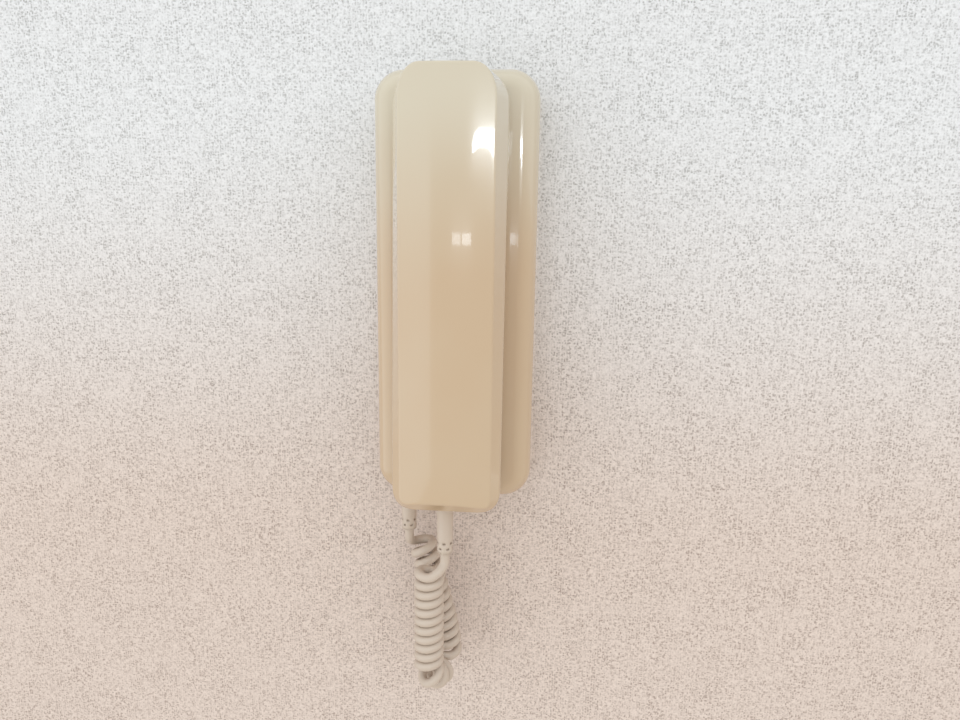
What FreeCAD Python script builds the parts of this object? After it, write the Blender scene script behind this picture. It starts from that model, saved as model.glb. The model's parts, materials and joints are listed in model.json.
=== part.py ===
import FreeCAD, Part
import math
import os
import re

import Sketcher
from FreeCAD import Placement, Rotation, Vector

# A slim wall telephone with a bar handset over a flat base and a curly cord below.
# The wall is the plane Y = 0, the phone stands out towards -Y, +X is the viewer's right and +Z is up.
# The origin is the middle of the two wall holes. Lengths are in millimetres.
# In the names below, "out" is a distance from the wall and "rise" a height above the origin.

SIZES = {
    # base
    "base_width": 78.0,
    "base_height": 206.4,
    "base_depth": 30.0,
    "base_corner": 14.0,
    "base_front_round": 9.0,
    "cover_wall": 2.2,
    "skirt_gap": 0.8,
    "fit_gap": 0.3,
    "thread_gap": 0.05,
    # chassis and wall bracket
    "chassis_depth": 9.0,
    "chassis_floor": 3.7,
    "chassis_rim": 2.0,
    "bracket_width": 52.0,
    "bracket_height": 112.0,
    "bracket_sheet": 1.2,
    "wall_hole_spacing": 83.5,
    "wall_hole_width": 4.6,
    "wall_hole_length": 7.0,
    "screw_head_room": 10.0,
    "window_width": 34.0,
    "window_height": 46.0,
    "tab_width": 12.0,
    "tab_reach": 5.2,
    # circuit board in the base
    "board_width": 58.0,
    "board_height": 148.0,
    "board_sheet": 1.6,
    "board_lift": 3.8,
    "board_margin": 1.0,
    "board_screw_inset": 5.0,
    "post_radius": 3.0,
    "screw_radius": 1.25,
    "screw_head_radius": 2.3,
    "screw_head_height": 1.4,
    "screw_length": 6.0,
    "cover_screw_out": 4.2,
    "cover_screw_left": -8.0,
    "cover_screw_inset": 17.0,
    "screw_block": 8.0,
    "latch_width": 10.0,
    "latch_sheet": 2.0,
    "latch_reach": 1.3,
    "latch_out": 3.5,
    "latch_spacing": 40.0,
    # wire terminals
    "terminal_width": 30.0,
    "terminal_depth": 5.6,
    "terminal_height": 11.0,
    "terminal_rise": 15.0,
    "terminal_pitch": 7.0,
    "terminal_screw_radius": 1.8,
    # ringer
    "speaker_radius": 18.0,
    "speaker_rim": 2.0,
    "speaker_basket": 6.0,
    "magnet_radius": 10.0,
    "magnet_depth": 4.2,
    "speaker_drop": 28.5,
    "cloth_sheet": 0.4,
    "slot_width": 1.6,
    "slot_pitch": 4.0,
    "slot_length": 24.0,
    "clamp_sheet": 1.0,
    "clamp_width": 8.0,
    # hook switch and its plunger
    "hook_drop": 34.3,
    "hook_radius": 3.5,
    "hook_travel": 3.5,
    "hook_switch_width": 12.0,
    "hook_switch_height": 6.4,
    "hook_switch_depth": 4.4,
    # call button and its switch
    "button_drop": 21.5,
    "button_radius": 4.5,
    "button_travel": 1.2,
    "button_sunk": 0.4,
    "button_switch_width": 6.0,
    "button_switch_depth": 3.5,
    # what the plunger and the button share
    "collar_extra": 1.6,
    "collar_sheet": 1.2,
    "stem_radius": 1.6,
    "guide_wall": 1.2,
    "slide_gap": 0.3,
    "spring_wire": 0.5,
    "stop_gap": 0.1,
    "hook_spring_turns": 3.0,
    "hook_spring_room": 4.0,
    "button_spring_turns": 4.0,
    "button_spring_room": 5.0,
    # ringer volume switch in the bottom wall
    "volume_right": 14.0,
    "volume_travel": 3.0,
    "volume_knob_width": 4.0,
    "volume_knob_depth": 3.0,
    "volume_knob_drop": 1.6,
    "volume_switch_width": 16.0,
    "volume_switch_depth": 8.0,
    "volume_switch_height": 5.0,
    # other parts on the board
    "transformer_size": 15.0,
    "transformer_right": 16.0,
    "transformer_rise": -58.0,
    "capacitor_radius": 4.0,
    "capacitor_depth": 8.5,
    # handset outside
    "handset_length": 200.4,
    "handset_middle": -0.6,
    "handset_depth": 27.6,
    "handset_back_width": 48.0,
    "handset_width": 51.6,
    "handset_face_width": 42.4,
    "handset_crown": 1.5,
    "handset_high_corner": 14.5,
    "handset_low_corner": 12.0,
    "shoulder_low_depth": 23.6,
    "shoulder_high_depth": 12.6,
    # how much of a wall's thickness the hollow's face edges and shoulders move by
    "face_inset": 0.55,
    "shoulder_inset": 0.3,
    # the sine of the low bevel's 45 degrees
    "bevel_slope": 0.7071,
    "handset_wall": 2.0,
    "rest_gap": 0.4,
    "lip_height": 3.0,
    "lip_wall": 1.2,
    "lift_slope": 0.6,
    # receiver end
    "ear_inset": 35.3,
    "ear_radius": 20.0,
    "ear_boss": 6.0,
    "recess_gap": 0.8,
    "hang_gap": 0.3,
    "receiver_radius": 16.5,
    "receiver_depth": 9.5,
    "gasket_sheet": 1.5,
    "gasket_width": 3.0,
    "sound_hole_radius": 1.0,
    "sound_hole_ring": 6.0,
    # mouth end
    "mouth_rise": -68.0,
    "mouth_width": 28.0,
    "mouth_height": 24.0,
    "mouth_boss": 5.0,
    "mouth_corner": 6.0,
    "microphone_radius": 4.85,
    "microphone_depth": 6.7,
    "boot_wall": 1.6,
    "boot_ring": 1.5,
    # inside the handset
    "ballast_width": 24.0,
    "ballast_depth": 6.0,
    "ballast_height": 58.0,
    "link_board_width": 18.0,
    "link_board_height": 14.0,
    "link_board_rise": -40.0,
    "handset_post_right": 11.0,
    "handset_post_inset": 8.0,
    # curly cord and its strain reliefs
    "wire_diameter": 4.4,
    "curl_diameter": 15.2,
    "front_lay": 4.98,
    "back_lay": 6.5,
    "relief_radius": 4.1,
    "relief_end_radius": 3.8,
    "relief_end_rise": -127.5,
    "relief_flange": 1.4,
    "relief_flange_extra": 0.9,
    "base_flange_lift": 1.0,
    "handset_exit_right": -1.9,
    "handset_exit_out": 41.0,
    "base_exit_right": -24.8,
    "base_exit_out": 15.0,
    "notch_width": 1.5,
    "notch_height": 1.0,
    "notch_depth": 0.8,
    "notch_from_end": 2.2,
    "notch_pitch": 2.8,
}

# Places that follow from the sizes above. The receiver hangs below the handset's upper end, and the plunger,
# the call button and the ringer follow below each other from there.
PLACES = {
    "front_inside": "base_depth - cover_wall",
    "base_low": "-base_height / 2",
    "base_high": "base_height / 2",
    "chassis_inset": "cover_wall + fit_gap",
    "chassis_low": "base_low + chassis_inset",
    "chassis_high": "base_high - chassis_inset",
    "cover_screw_right": "base_width / 2 - cover_screw_inset",
    "board_back": "chassis_floor + board_lift",
    "board_front": "board_back + board_sheet",
    "board_low": "chassis_low + chassis_rim + board_margin",
    "board_middle": "board_low + board_height / 2",
    "terminal_back": "board_back - terminal_depth",
    "handset_back": "base_depth + rest_gap",
    "handset_seam": "handset_back + handset_wall",
    "handset_face": "handset_back + handset_depth",
    "handset_low": "handset_middle - handset_length / 2",
    "handset_high": "handset_low + handset_length",
    "handset_inside": "handset_face + handset_crown - handset_wall",
    "ear_rise": "handset_high - ear_inset",
    "hook_rise": "ear_rise - hook_drop",
    "button_rise": "hook_rise - button_drop",
    "speaker_rise": "button_rise - speaker_drop",
    "ear_face": "handset_back - ear_boss",
    "ear_floor": "ear_face - recess_gap",
    "ear_lift": "(base_depth - ear_face) * lift_slope + recess_gap",
    "ear_hole": "ear_radius + hang_gap",
    "mouth_face": "handset_back - mouth_boss",
    "mouth_floor": "mouth_face - recess_gap",
    "mouth_lift": "(base_depth - mouth_face) * lift_slope + recess_gap",
    "mouth_hole_width": "mouth_width + 2 * hang_gap",
    "mouth_hole_height": "mouth_height + hang_gap + mouth_lift",
    "mouth_hole_rise": "mouth_rise + (mouth_lift - hang_gap) / 2",
    "receiver_face": "ear_face + handset_wall + gasket_sheet",
    "receiver_back": "receiver_face + receiver_depth",
    "receiver_post": "ear_radius - handset_wall + post_radius + slide_gap",
    "boot_radius": "microphone_radius + boot_wall",
    "speaker_face": "front_inside - cloth_sheet",
    "speaker_back": "speaker_face - speaker_rim - speaker_basket - magnet_depth",
    "speaker_post": "speaker_radius + post_radius + fit_gap",
    "hook_tip": "handset_back - fit_gap",
    "hook_collar": "front_inside - stop_gap - hook_travel",
    "hook_guide": "hook_collar - collar_sheet - hook_spring_room",
    "hook_stem_end": "board_front + hook_switch_depth + fit_gap",
    "button_tip": "base_depth - button_sunk",
    "button_collar": "front_inside - stop_gap",
    "button_guide": "button_collar - collar_sheet - button_spring_room",
    "button_stem_end": "board_front + button_switch_depth + button_travel + fit_gap",
    "inner_seat": "handset_seam + lip_height",
    "handset_post_high": "handset_high - handset_post_inset",
    "handset_post_low": "handset_low + handset_post_inset",
    "volume_out": "board_front + volume_switch_depth / 2",
    "volume_low": "base_low + cover_wall + fit_gap",
    "volume_groove": "volume_knob_width + 2 * volume_travel + 2 * slide_gap",
}

# The coil's axis from the handset's end round the bottom to the base's end: right, -out, rise.
CORD_ROUTE = [
    (-9.8, -42.0, -135.6),
    (-9.9, -39.6, -137.6),
    (-10.2, -38.7, -143.5),
    (-10.4, -38.5, -166.0),
    (-10.4, -38.4, -186.5),
    (-10.4, -38.4, -197.0),
    (-8.2, -31.6, -203.4),
    (-5.2, -20.2, -205.8),
    (-3.6, -13.2, -201.0),
    (-4.0, -14.6, -189.5),
    (-8.0, -15.0, -172.0),
    (-12.4, -14.8, -156.0),
    (-14.8, -14.4, -146.5),
    (-18.3, -13.2, -135.7),
]
# The level direction square to the plane of the cord's U turn.
CURL_REFERENCE = Vector(0.961, -0.275, 0.0)
CURL_START_DEGREES = 35.0
CURL_END_DEGREES = 150.0
STATION_STEP = 0.5
# A bend's sharpness is measured over this much axis on either side. Turns open a little more than it asks.
BEND_REACH = 3.0
BEND_ROOM = 1.15
# The lay stays near the front's until the last turns before the base's relief.
LAY_POWER = 8

# The two sides and the two ends of a thing that is symmetrical.
SIDES = (("left", -1), ("right", 1))
ENDS = (("low", -1), ("high", 1))

doc = FreeCAD.newDocument("wall_telephone")


def fill_sheet(name, rows, spelled=str):
    """Puts one named value in each row of a new spreadsheet."""
    sheet = doc.addObject("Spreadsheet::Sheet", name)
    for row, (word, value) in enumerate(rows.items(), start=1):
        sheet.set(f"A{row}", word)
        sheet.set(f"B{row}", spelled(value))
        sheet.setAlias(f"B{row}", word)
    return sheet


def in_cells(formula):
    """A formula with each size or place in it written as the cell that holds it."""

    def cell(match):
        word = match.group()
        if word in SIZES:
            return "Sizes." + word
        return "Places." + word if word in PLACES else word

    return re.sub(r"[a-z][a-z_0-9]*", cell, formula)


sizes = fill_sheet("Sizes", SIZES)
places = fill_sheet("Places", PLACES, lambda formula: "=" + in_cells(formula))
doc.recompute()


def size(word):
    """The number in a named cell, for the shapes that are worked out in code."""
    return float(getattr(sizes if word in SIZES else places, word))


def tie(thing, **formulas):
    """Binds properties of an object to formulas of the named sizes."""
    for name, formula in formulas.items():
        thing.setExpression(name.replace("__", "."), in_cells(formula))
    return thing


def stand(thing, right, out, rise):
    """Ties an object's place, given to the right, out from the wall and up."""
    return tie(
        thing,
        Placement__Base__x=right,
        Placement__Base__y=f"-({out})",
        Placement__Base__z=rise,
    )


def block(name, right, out, rise, wide, deep, high):
    """A box centred on right and rise, from out to out + deep in front of the wall."""
    box = doc.addObject("Part::Box", name)
    tie(box, Length=wide, Width=deep, Height=high)
    return stand(box, f"{right} - ({wide}) / 2", f"{out} + {deep}", f"{rise} - ({high}) / 2")


def rod(name, right, out, rise, radius, deep):
    """A cylinder square to the wall, from out to out + deep."""
    cylinder = doc.addObject("Part::Cylinder", name)
    cylinder.Placement = Placement(Vector(), Rotation(Vector(1, 0, 0), 90))
    tie(cylinder, Radius=radius, Height=deep)
    return stand(cylinder, right, out, rise)


def peg(name, right, out, low, radius, high):
    """An upright cylinder from low to low + high."""
    cylinder = doc.addObject("Part::Cylinder", name)
    tie(cylinder, Radius=radius, Height=high)
    return stand(cylinder, right, out, low)


def taper(name, right, out, rise, back_radius, front_radius, deep):
    """A cone square to the wall, from out to out + deep."""
    cone = doc.addObject("Part::Cone", name)
    cone.Placement = Placement(Vector(), Rotation(Vector(1, 0, 0), 90))
    tie(cone, Radius1=back_radius, Radius2=front_radius, Height=deep)
    return stand(cone, right, out, rise)


def join(name, *shapes):
    """One object made of several that touch or overlap, or a group of separate solids."""
    fused = doc.addObject("Part::MultiFuse", name)
    fused.Shapes = list(shapes)
    return fused


def cut(name, base, *tools):
    """The base without the tools."""
    rest = doc.addObject("Part::Cut", name)
    rest.Base = base
    rest.Tool = tools[0] if len(tools) == 1 else join(name + "_tools", *tools)
    return rest


def slot(name, right, out, low, high, radius, deep):
    """An upright hole or boss with round ends, whose end arcs are centred on low and high."""
    return join(
        name,
        rod(name + "_low", right, out, low, radius, deep),
        rod(name + "_high", right, out, high, radius, deep),
        block(
            name + "_middle", right, out, f"({low} + {high}) / 2", f"2 * ({radius})", deep,
            f"{high} - ({low})",
        ),
    )


def plane_of(body, role):
    """One of a body's own origin planes."""
    return next(plane for plane in body.Origin.OriginFeatures if plane.Role == role)


def lay_sketch(body, name, role, lift):
    """A sketch on one of the body's origin planes, lifted along that plane's normal."""
    sketch = body.newObject("Sketcher::SketchObject", name)
    sketch.AttachmentSupport = [(plane_of(body, role), "")]
    sketch.MapMode = "FlatFace"
    return tie(sketch, AttachmentOffset__Base__z=lift)


def name_constraint(sketch, name, constraint, formula):
    """Adds a dimension to a sketch and ties it to a formula."""
    index = sketch.addConstraint(constraint)
    sketch.renameConstraint(index, name)
    tie(sketch, **{"Constraints__" + name: formula})


def draw_rectangle(sketch, right, rise, wide, high):
    """A rectangle in a sketch, held by its low left corner and its two sizes."""
    corners = [(0, 0), (10, 0), (10, 10), (0, 10)]
    for start in range(4):
        end = (start + 1) % 4
        sketch.addGeometry(Part.LineSegment(Vector(*corners[start], 0), Vector(*corners[end], 0)))
    for start in range(4):
        sketch.addConstraint(Sketcher.Constraint("Coincident", start, 2, (start + 1) % 4, 1))
    for side, way in enumerate(("Horizontal", "Vertical", "Horizontal", "Vertical")):
        sketch.addConstraint(Sketcher.Constraint(way, side))
    name_constraint(sketch, "wide", Sketcher.Constraint("DistanceX", 0, 1, 0, 2, 10.0), wide)
    name_constraint(sketch, "high", Sketcher.Constraint("DistanceY", 1, 1, 1, 2, 10.0), high)
    name_constraint(
        sketch, "left", Sketcher.Constraint("DistanceX", -1, 1, 0, 1, 0.0), f"{right} - ({wide}) / 2",
    )
    name_constraint(
        sketch, "low", Sketcher.Constraint("DistanceY", -1, 1, 0, 1, 0.0), f"{rise} - ({high}) / 2",
    )


def round_edges(body, feature, name, radius, chosen):
    """Fillets those edges of the body's latest feature that the test chooses."""
    doc.recompute()
    edges = [f"Edge{n}" for n, edge in enumerate(feature.Shape.Edges, start=1) if chosen(edge.BoundBox)]
    fillet = body.newObject("PartDesign::Fillet", name)
    fillet.Base = (feature, edges)
    return tie(fillet, Radius=radius)


def square_to_wall(box):
    """True for an edge that runs straight out from the wall."""
    return box.XLength < 0.01 and box.ZLength < 0.01 < box.YLength


def rounded_block(name, right, out, rise, wide, deep, high, corner):
    """A plate or box with round corners, from out to out + deep in front of the wall."""
    body = doc.addObject("PartDesign::Body", name)
    sketch = lay_sketch(body, name + "_outline", "XZ_Plane", out)
    draw_rectangle(sketch, right, rise, wide, high)
    pad = body.newObject("PartDesign::Pad", name + "_pad")
    pad.Profile = sketch
    tie(pad, Length=deep)
    round_edges(body, pad, name + "_corners", corner, square_to_wall)
    return body


def base_form(name, inset, back):
    """The base's rounded slab, drawn in by an inset on its sides and front."""
    body = rounded_block(
        name, "0", back, "0",
        f"base_width - 2 * ({inset})", f"base_depth - ({inset}) - ({back})",
        f"base_height - 2 * ({inset})", f"base_corner - ({inset})",
    )
    doc.recompute()
    front = body.Shape.BoundBox.YMin
    round_edges(
        body, body.Tip, name + "_front_round", f"base_front_round - ({inset})",
        lambda box: box.YMax < front + 0.01,
    )
    return body


def draw_handset_section(sketch, inset, shoulder):
    """The handset cut level: a flat back, sides that widen to the shoulders, bevels and a crowned face."""
    back = [Vector(-20, -10, 0), Vector(20, -10, 0)]
    widest = [Vector(-22, -25, 0), Vector(22, -25, 0)]
    face = [Vector(-15, -30, 0), Vector(15, -30, 0)]
    sketch.addGeometry(Part.LineSegment(back[0], back[1]))
    sketch.addGeometry(Part.LineSegment(back[1], widest[1]))
    sketch.addGeometry(Part.LineSegment(widest[1], face[1]))
    sketch.addGeometry(Part.Arc(face[0], Vector(0, -31, 0), face[1]))
    sketch.addGeometry(Part.LineSegment(face[0], widest[0]))
    sketch.addGeometry(Part.LineSegment(widest[0], back[0]))
    for ends in ((0, 2, 1, 1), (1, 2, 2, 1), (2, 2, 3, 2), (3, 1, 4, 1), (4, 2, 5, 1), (5, 2, 0, 1)):
        sketch.addConstraint(Sketcher.Constraint("Coincident", *ends))
    for ends in ((0, 1, 0, 2), (5, 1, 1, 2), (3, 1, 3, 2)):
        sketch.addConstraint(Sketcher.Constraint("Symmetric", *ends, -2))
    face_width = f"(handset_face_width - 2 * face_inset * ({inset}))"
    dimensions = [
        (
            "back_width", Sketcher.Constraint("DistanceX", 0, 1, 0, 2, 40.0),
            f"handset_back_width - 2 * ({inset})",
        ),
        ("width", Sketcher.Constraint("DistanceX", 5, 1, 1, 2, 44.0), f"handset_width - 2 * ({inset})"),
        ("face_width", Sketcher.Constraint("DistanceX", 3, 1, 3, 2, 30.0), face_width),
        ("back_out", Sketcher.Constraint("DistanceY", 0, 1, -1, 1, 10.0), "handset_back"),
        (
            "shoulder", Sketcher.Constraint("DistanceY", 5, 1, 0, 1, 15.0),
            f"{shoulder} - shoulder_inset * ({inset})",
        ),
        ("depth", Sketcher.Constraint("DistanceY", 3, 1, 0, 1, 20.0), f"handset_depth - ({inset})"),
        (
            "crown", Sketcher.Constraint("Radius", 3, 100.0),
            f"{face_width}^2 / (8 * handset_crown) + handset_crown / 2",
        ),
    ]
    for name, constraint, formula in dimensions:
        name_constraint(sketch, name, constraint, formula)


def handset_form(name, inset):
    """The handset's outline as a solid bar, drawn in by an inset everywhere but at its back.

    Its shoulders lie deeper at the low end than at the high end. The bar is cut to an outline with round
    corners, and its low end is bevelled from the shoulders to the face.
    """
    body = doc.addObject("PartDesign::Body", name + "_bar")
    sections = []
    for end, rise in (("low", "handset_low"), ("high", "handset_high")):
        sketch = lay_sketch(body, f"{name}_{end}_section", "XY_Plane", rise)
        draw_handset_section(sketch, inset, f"shoulder_{end}_depth")
        sections.append(sketch)
    doc.recompute()
    bar = body.newObject("PartDesign::AdditiveLoft", name + "_loft")
    bar.Profile = sections[0]
    bar.Sections = [sections[1]]
    bar.Ruled = True
    outline = doc.addObject("PartDesign::Body", name + "_outline")
    sketch = lay_sketch(outline, name + "_outline_sketch", "XZ_Plane", "0")
    draw_rectangle(
        sketch, "0", "handset_middle", f"handset_width - 2 * ({inset})", f"handset_length - 2 * ({inset})",
    )
    pad = outline.newObject("PartDesign::Pad", name + "_outline_pad")
    pad.Profile = sketch
    tie(pad, Length="handset_face + 2 * handset_crown")
    for end, way in ENDS:
        doc.recompute()
        round_edges(
            outline, outline.Tip, f"{name}_{end}_corners", f"handset_{end}_corner - ({inset})",
            lambda box: square_to_wall(box) and box.Center.z * way > 0,
        )
    rounded = doc.addObject("Part::Common", name + "_rounded")
    rounded.Base = body
    rounded.Tool = outline
    bevel = doc.addObject("Part::Box", name + "_low_bevel")
    bevel.Placement = Placement(Vector(), Rotation(Vector(1, 0, 0), 135))
    tie(bevel, Length="2 * handset_width", Width="handset_depth", Height="handset_depth")
    start = "handset_depth / 2 * bevel_slope"
    stand(
        bevel, "-handset_width",
        f"handset_back + shoulder_low_depth - (2 * bevel_slope - 1) * ({inset}) - {start}",
        f"handset_low + {inset} - {start}",
    )
    return cut(name, rounded, bevel)


def screw_along(name, right, seat, rise, length, way):
    """A pan head screw square to the wall. Way +1 puts the head in front of the seat, -1 behind it."""
    head = rod(
        name + "_head", right, seat if way > 0 else f"{seat} - screw_head_height", rise,
        "screw_head_radius", "screw_head_height",
    )
    shank = rod(
        name + "_shank", right, f"{seat} - ({length})" if way > 0 else seat, rise, "screw_radius", length,
    )
    return join(name, head, shank)


def pilot_along(name, right, seat, rise, length, way, gap="thread_gap"):
    """The hole for such a screw's shank, a little longer than the shank."""
    start = f"{seat} - ({length}) - fit_gap" if way > 0 else seat
    return rod(name, right, start, rise, f"screw_radius + {gap}", f"{length} + fit_gap")


def board_screw_places():
    """The four corners of the main board where it is screwed down."""
    for side, across in SIDES:
        for end, way in ENDS:
            right = f"{across} * (board_width / 2 - board_screw_inset)"
            rise = f"board_middle + {way} * (board_height / 2 - board_screw_inset)"
            yield f"{side}_{end}", right, rise


def cover_screw_places():
    """The two screws that hold the front cover from below."""
    return (("left", "cover_screw_left"), ("right", "cover_screw_right"))


def wall_bracket():
    """The steel plate that is screwed to the wall box, with two tabs that the chassis hooks over."""
    plate = block("bracket_plate", "0", "0", "0", "bracket_width", "bracket_sheet", "bracket_height")
    tabs = [
        block(
            f"bracket_tab_{end}", "0", "0", f"{way} * (bracket_height - bracket_sheet) / 2",
            "tab_width", "tab_reach", "bracket_sheet",
        )
        for end, way in ENDS
    ]
    run = "(wall_hole_length - wall_hole_width) / 2"
    holes = []
    for end, way in ENDS:
        middle = f"{way} * wall_hole_spacing / 2"
        holes.append(
            slot(
                f"wall_hole_{end}", "0", "-1", f"{middle} - {run}", f"{middle} + {run}",
                "wall_hole_width / 2", "bracket_sheet + 2",
            )
        )
    window = block("bracket_window", "0", "-1", "0", "window_width", "bracket_sheet + 2", "window_height")
    return cut("wall_bracket", join("bracket_blank", plate, *tabs), window, *holes)


def base_chassis():
    """The rear tray that hooks on the bracket and carries the board."""
    wide = "base_width - 2 * chassis_inset"
    high = "base_height - 2 * chassis_inset"
    corner = "base_corner - chassis_inset"
    outside = rounded_block("chassis_outside", "0", "0", "0", wide, "chassis_depth", high, corner)
    hollow = rounded_block(
        "chassis_hollow", "0", "chassis_floor", "0", f"{wide} - 2 * chassis_rim", "chassis_depth",
        f"{high} - 2 * chassis_rim", f"{corner} - chassis_rim",
    )
    tray = cut("chassis_tray", outside, hollow)
    posts = []
    holes = []
    for place, right, rise in board_screw_places():
        posts.append(rod(
            f"board_post_{place}", right, "chassis_floor - 1", rise, "post_radius", "board_lift + 1",
        ))
        holes.append(pilot_along(f"board_pilot_{place}", right, "board_front", rise, "screw_length", 1))
    for side, right in cover_screw_places():
        posts.append(
            block(
                f"cover_screw_block_{side}", right, "0", "chassis_low + screw_block / 2",
                "screw_block", "board_back - fit_gap", "screw_block",
            )
        )
        holes.append(peg(
            f"cover_pilot_{side}", right, "cover_screw_out", "base_low", "screw_radius + thread_gap",
            "screw_length + cover_wall",
        ))
    for side, across in SIDES:
        posts.append(
            block(
                f"latch_{side}", f"{across} * latch_spacing / 2", "latch_out",
                "chassis_high - chassis_rim / 2 + latch_reach / 2",
                "latch_width", "latch_sheet", "latch_reach + chassis_rim",
            )
        )
    recess = block(
        "bracket_recess", "0", "-1", "0", "bracket_width + 2 * fit_gap", "bracket_sheet + fit_gap + 1",
        "bracket_height + 2 * fit_gap",
    )
    window = block("chassis_window", "0", "-1", "0", "window_width", "chassis_depth", "window_height")
    for end, way in ENDS:
        holes.append(
            block(
                f"tab_slot_{end}", "0", "-1", f"{way} * (bracket_height - bracket_sheet) / 2",
                "tab_width + 2 * fit_gap", "chassis_depth", "bracket_sheet + 2 * fit_gap",
            )
        )
        holes.append(rod(
            f"head_room_{end}", "0", "-1", f"{way} * wall_hole_spacing / 2", "screw_head_room / 2",
            "chassis_depth",
        ))
    return cut("base_chassis", join("chassis_blank", tray, *posts), recess, window, *holes)


def recess_tubs():
    """The thick rims behind the front cover's two recesses, and the recesses themselves."""
    ear_back = "ear_floor - cover_wall"
    ear_high = "ear_rise + ear_lift"
    mouth_back = "mouth_floor - cover_wall"
    to_front = "base_depth - cover_wall / 2"
    tubs = [
        slot(
            "ear_tub", "0", ear_back, "ear_rise", ear_high, "ear_hole + cover_wall",
            f"{to_front} - ({ear_back})",
        ),
        rounded_block(
            "mouth_tub", "0", mouth_back, "mouth_hole_rise", "mouth_hole_width + 2 * cover_wall",
            f"{to_front} - ({mouth_back})", "mouth_hole_height + 2 * cover_wall",
            "mouth_corner + hang_gap + cover_wall",
        ),
    ]
    recesses = [
        slot("ear_recess", "0", "ear_floor", "ear_rise", ear_high, "ear_hole", "base_depth"),
        rounded_block(
            "mouth_recess", "0", "mouth_floor", "mouth_hole_rise", "mouth_hole_width", "base_depth",
            "mouth_hole_height", "mouth_corner + hang_gap",
        ),
    ]
    return tubs, recesses


def base_front_cover():
    """The glossy cover, with a recess for each end of the handset and the holes behind it."""
    outside = base_form("cover_outside", "0", "skirt_gap")
    hollow = base_form("cover_hollow", "cover_wall", "0")
    tubs, holes = recess_tubs()
    for side, across in SIDES:
        right = f"{across} * speaker_post"
        tubs.append(rod(
            f"speaker_post_{side}", right, "speaker_back", "speaker_rise", "post_radius",
            "base_depth - cover_wall / 2 - speaker_back",
        ))
        holes.append(pilot_along(
            f"speaker_pilot_{side}", right, "speaker_back - clamp_sheet", "speaker_rise", "screw_length",
            -1,
        ))
        holes.append(
            block(
                f"latch_pocket_{side}", f"{across} * latch_spacing / 2", "latch_out - fit_gap",
                "chassis_high + latch_reach / 2", "latch_width + 2 * fit_gap",
                "latch_sheet + 2 * fit_gap", "latch_reach + 2 * fit_gap",
            )
        )
    for side, right in cover_screw_places():
        holes.append(peg(
            f"cover_screw_hole_{side}", right, "cover_screw_out", "base_low - 1",
            "screw_radius + slide_gap", "cover_wall + 2",
        ))
        holes.append(peg(
            f"cover_screw_sink_{side}", right, "cover_screw_out", "base_low - 1",
            "screw_head_radius + slide_gap", "screw_head_height + slide_gap + 1",
        ))
    for row in range(-2, 3):
        holes.append(block(
            f"sound_slot_{row + 3}", "0", "front_inside - 1", f"speaker_rise + {row} * slot_pitch",
            "slot_length", "cover_wall + 2", "slot_width",
        ))
    holes.append(rod(
        "hook_hole", "0", "front_inside - 1", "hook_rise", "hook_radius + slide_gap", "cover_wall + 2",
    ))
    holes.append(rod(
        "button_hole", "0", "front_inside - 1", "button_rise", "button_radius + slide_gap",
        "cover_wall + 2",
    ))
    holes.append(peg(
        "base_cord_hole", "base_exit_right", "base_exit_out", "base_low - 1", "relief_radius + slide_gap",
        "2 * cover_wall + 1",
    ))
    holes.append(
        block(
            "volume_slot", "volume_right", "volume_out - volume_knob_depth / 2 - slide_gap", "base_low",
            "volume_groove", "volume_knob_depth + 2 * slide_gap", "2 * cover_wall + 1",
        )
    )
    shell = cut("cover_shell", outside, hollow)
    return cut("base_front_cover", join("cover_blank", shell, *tubs), *holes)


def cover_screws():
    """Two screws from below that hold the front cover to the chassis."""
    screws = []
    for side, right in cover_screw_places():
        head = peg(
            f"cover_screw_head_{side}", right, "cover_screw_out", "base_low + slide_gap",
            "screw_head_radius", "screw_head_height",
        )
        shank = peg(
            f"cover_screw_shank_{side}", right, "cover_screw_out", "base_low + slide_gap", "screw_radius",
            "screw_length + screw_head_height",
        )
        screws.append(join(f"cover_screw_{side}", head, shank))
    return join("cover_screws", *screws)


def main_board():
    """The circuit board, screwed to the chassis posts."""
    sheet = rounded_block(
        "board_sheet_blank", "0", "board_back", "board_middle", "board_width", "board_sheet",
        "board_height", "1",
    )
    holes = [
        pilot_along(f"board_hole_{place}", right, "board_front", rise, "screw_length", 1, "slide_gap")
        for place, right, rise in board_screw_places()
    ]
    return cut("main_board", sheet, *holes)


def board_screws():
    return join(
        "board_screws",
        *[
            screw_along(f"board_screw_{place}", right, "board_front", rise, "screw_length", 1)
            for place, right, rise in board_screw_places()
        ],
    )


def terminal_places():
    """The four wire terminals, from left to right."""
    return [(number, f"({number} - 2.5) * terminal_pitch") for number in range(1, 5)]


def terminal_block():
    """The block behind the board that takes the wires from the wall."""
    body = block(
        "terminal_body", "0", "terminal_back", "terminal_rise", "terminal_width", "terminal_depth",
        "terminal_height",
    )
    holes = []
    for number, right in terminal_places():
        holes.append(rod(
            f"terminal_bore_{number}", right, "terminal_back - 1", "terminal_rise",
            "screw_radius + thread_gap", "terminal_depth",
        ))
        holes.append(block(
            f"wire_hole_{number}", right, "terminal_back + 2", "terminal_rise - terminal_height / 2", "3",
            "2.4", "6",
        ))
    return cut("terminal_block", body, *holes)


def terminal_screws():
    screws = []
    for number, right in terminal_places():
        head = rod(
            f"terminal_head_{number}", right, "terminal_back - 0.6", "terminal_rise",
            "terminal_screw_radius", "0.6",
        )
        shank = rod(
            f"terminal_shank_{number}", right, "terminal_back - 0.6", "terminal_rise", "screw_radius",
            "terminal_depth - 1",
        )
        screws.append(join(f"terminal_screw_{number}", head, shank))
    return join("terminal_screws", *screws)


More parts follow.
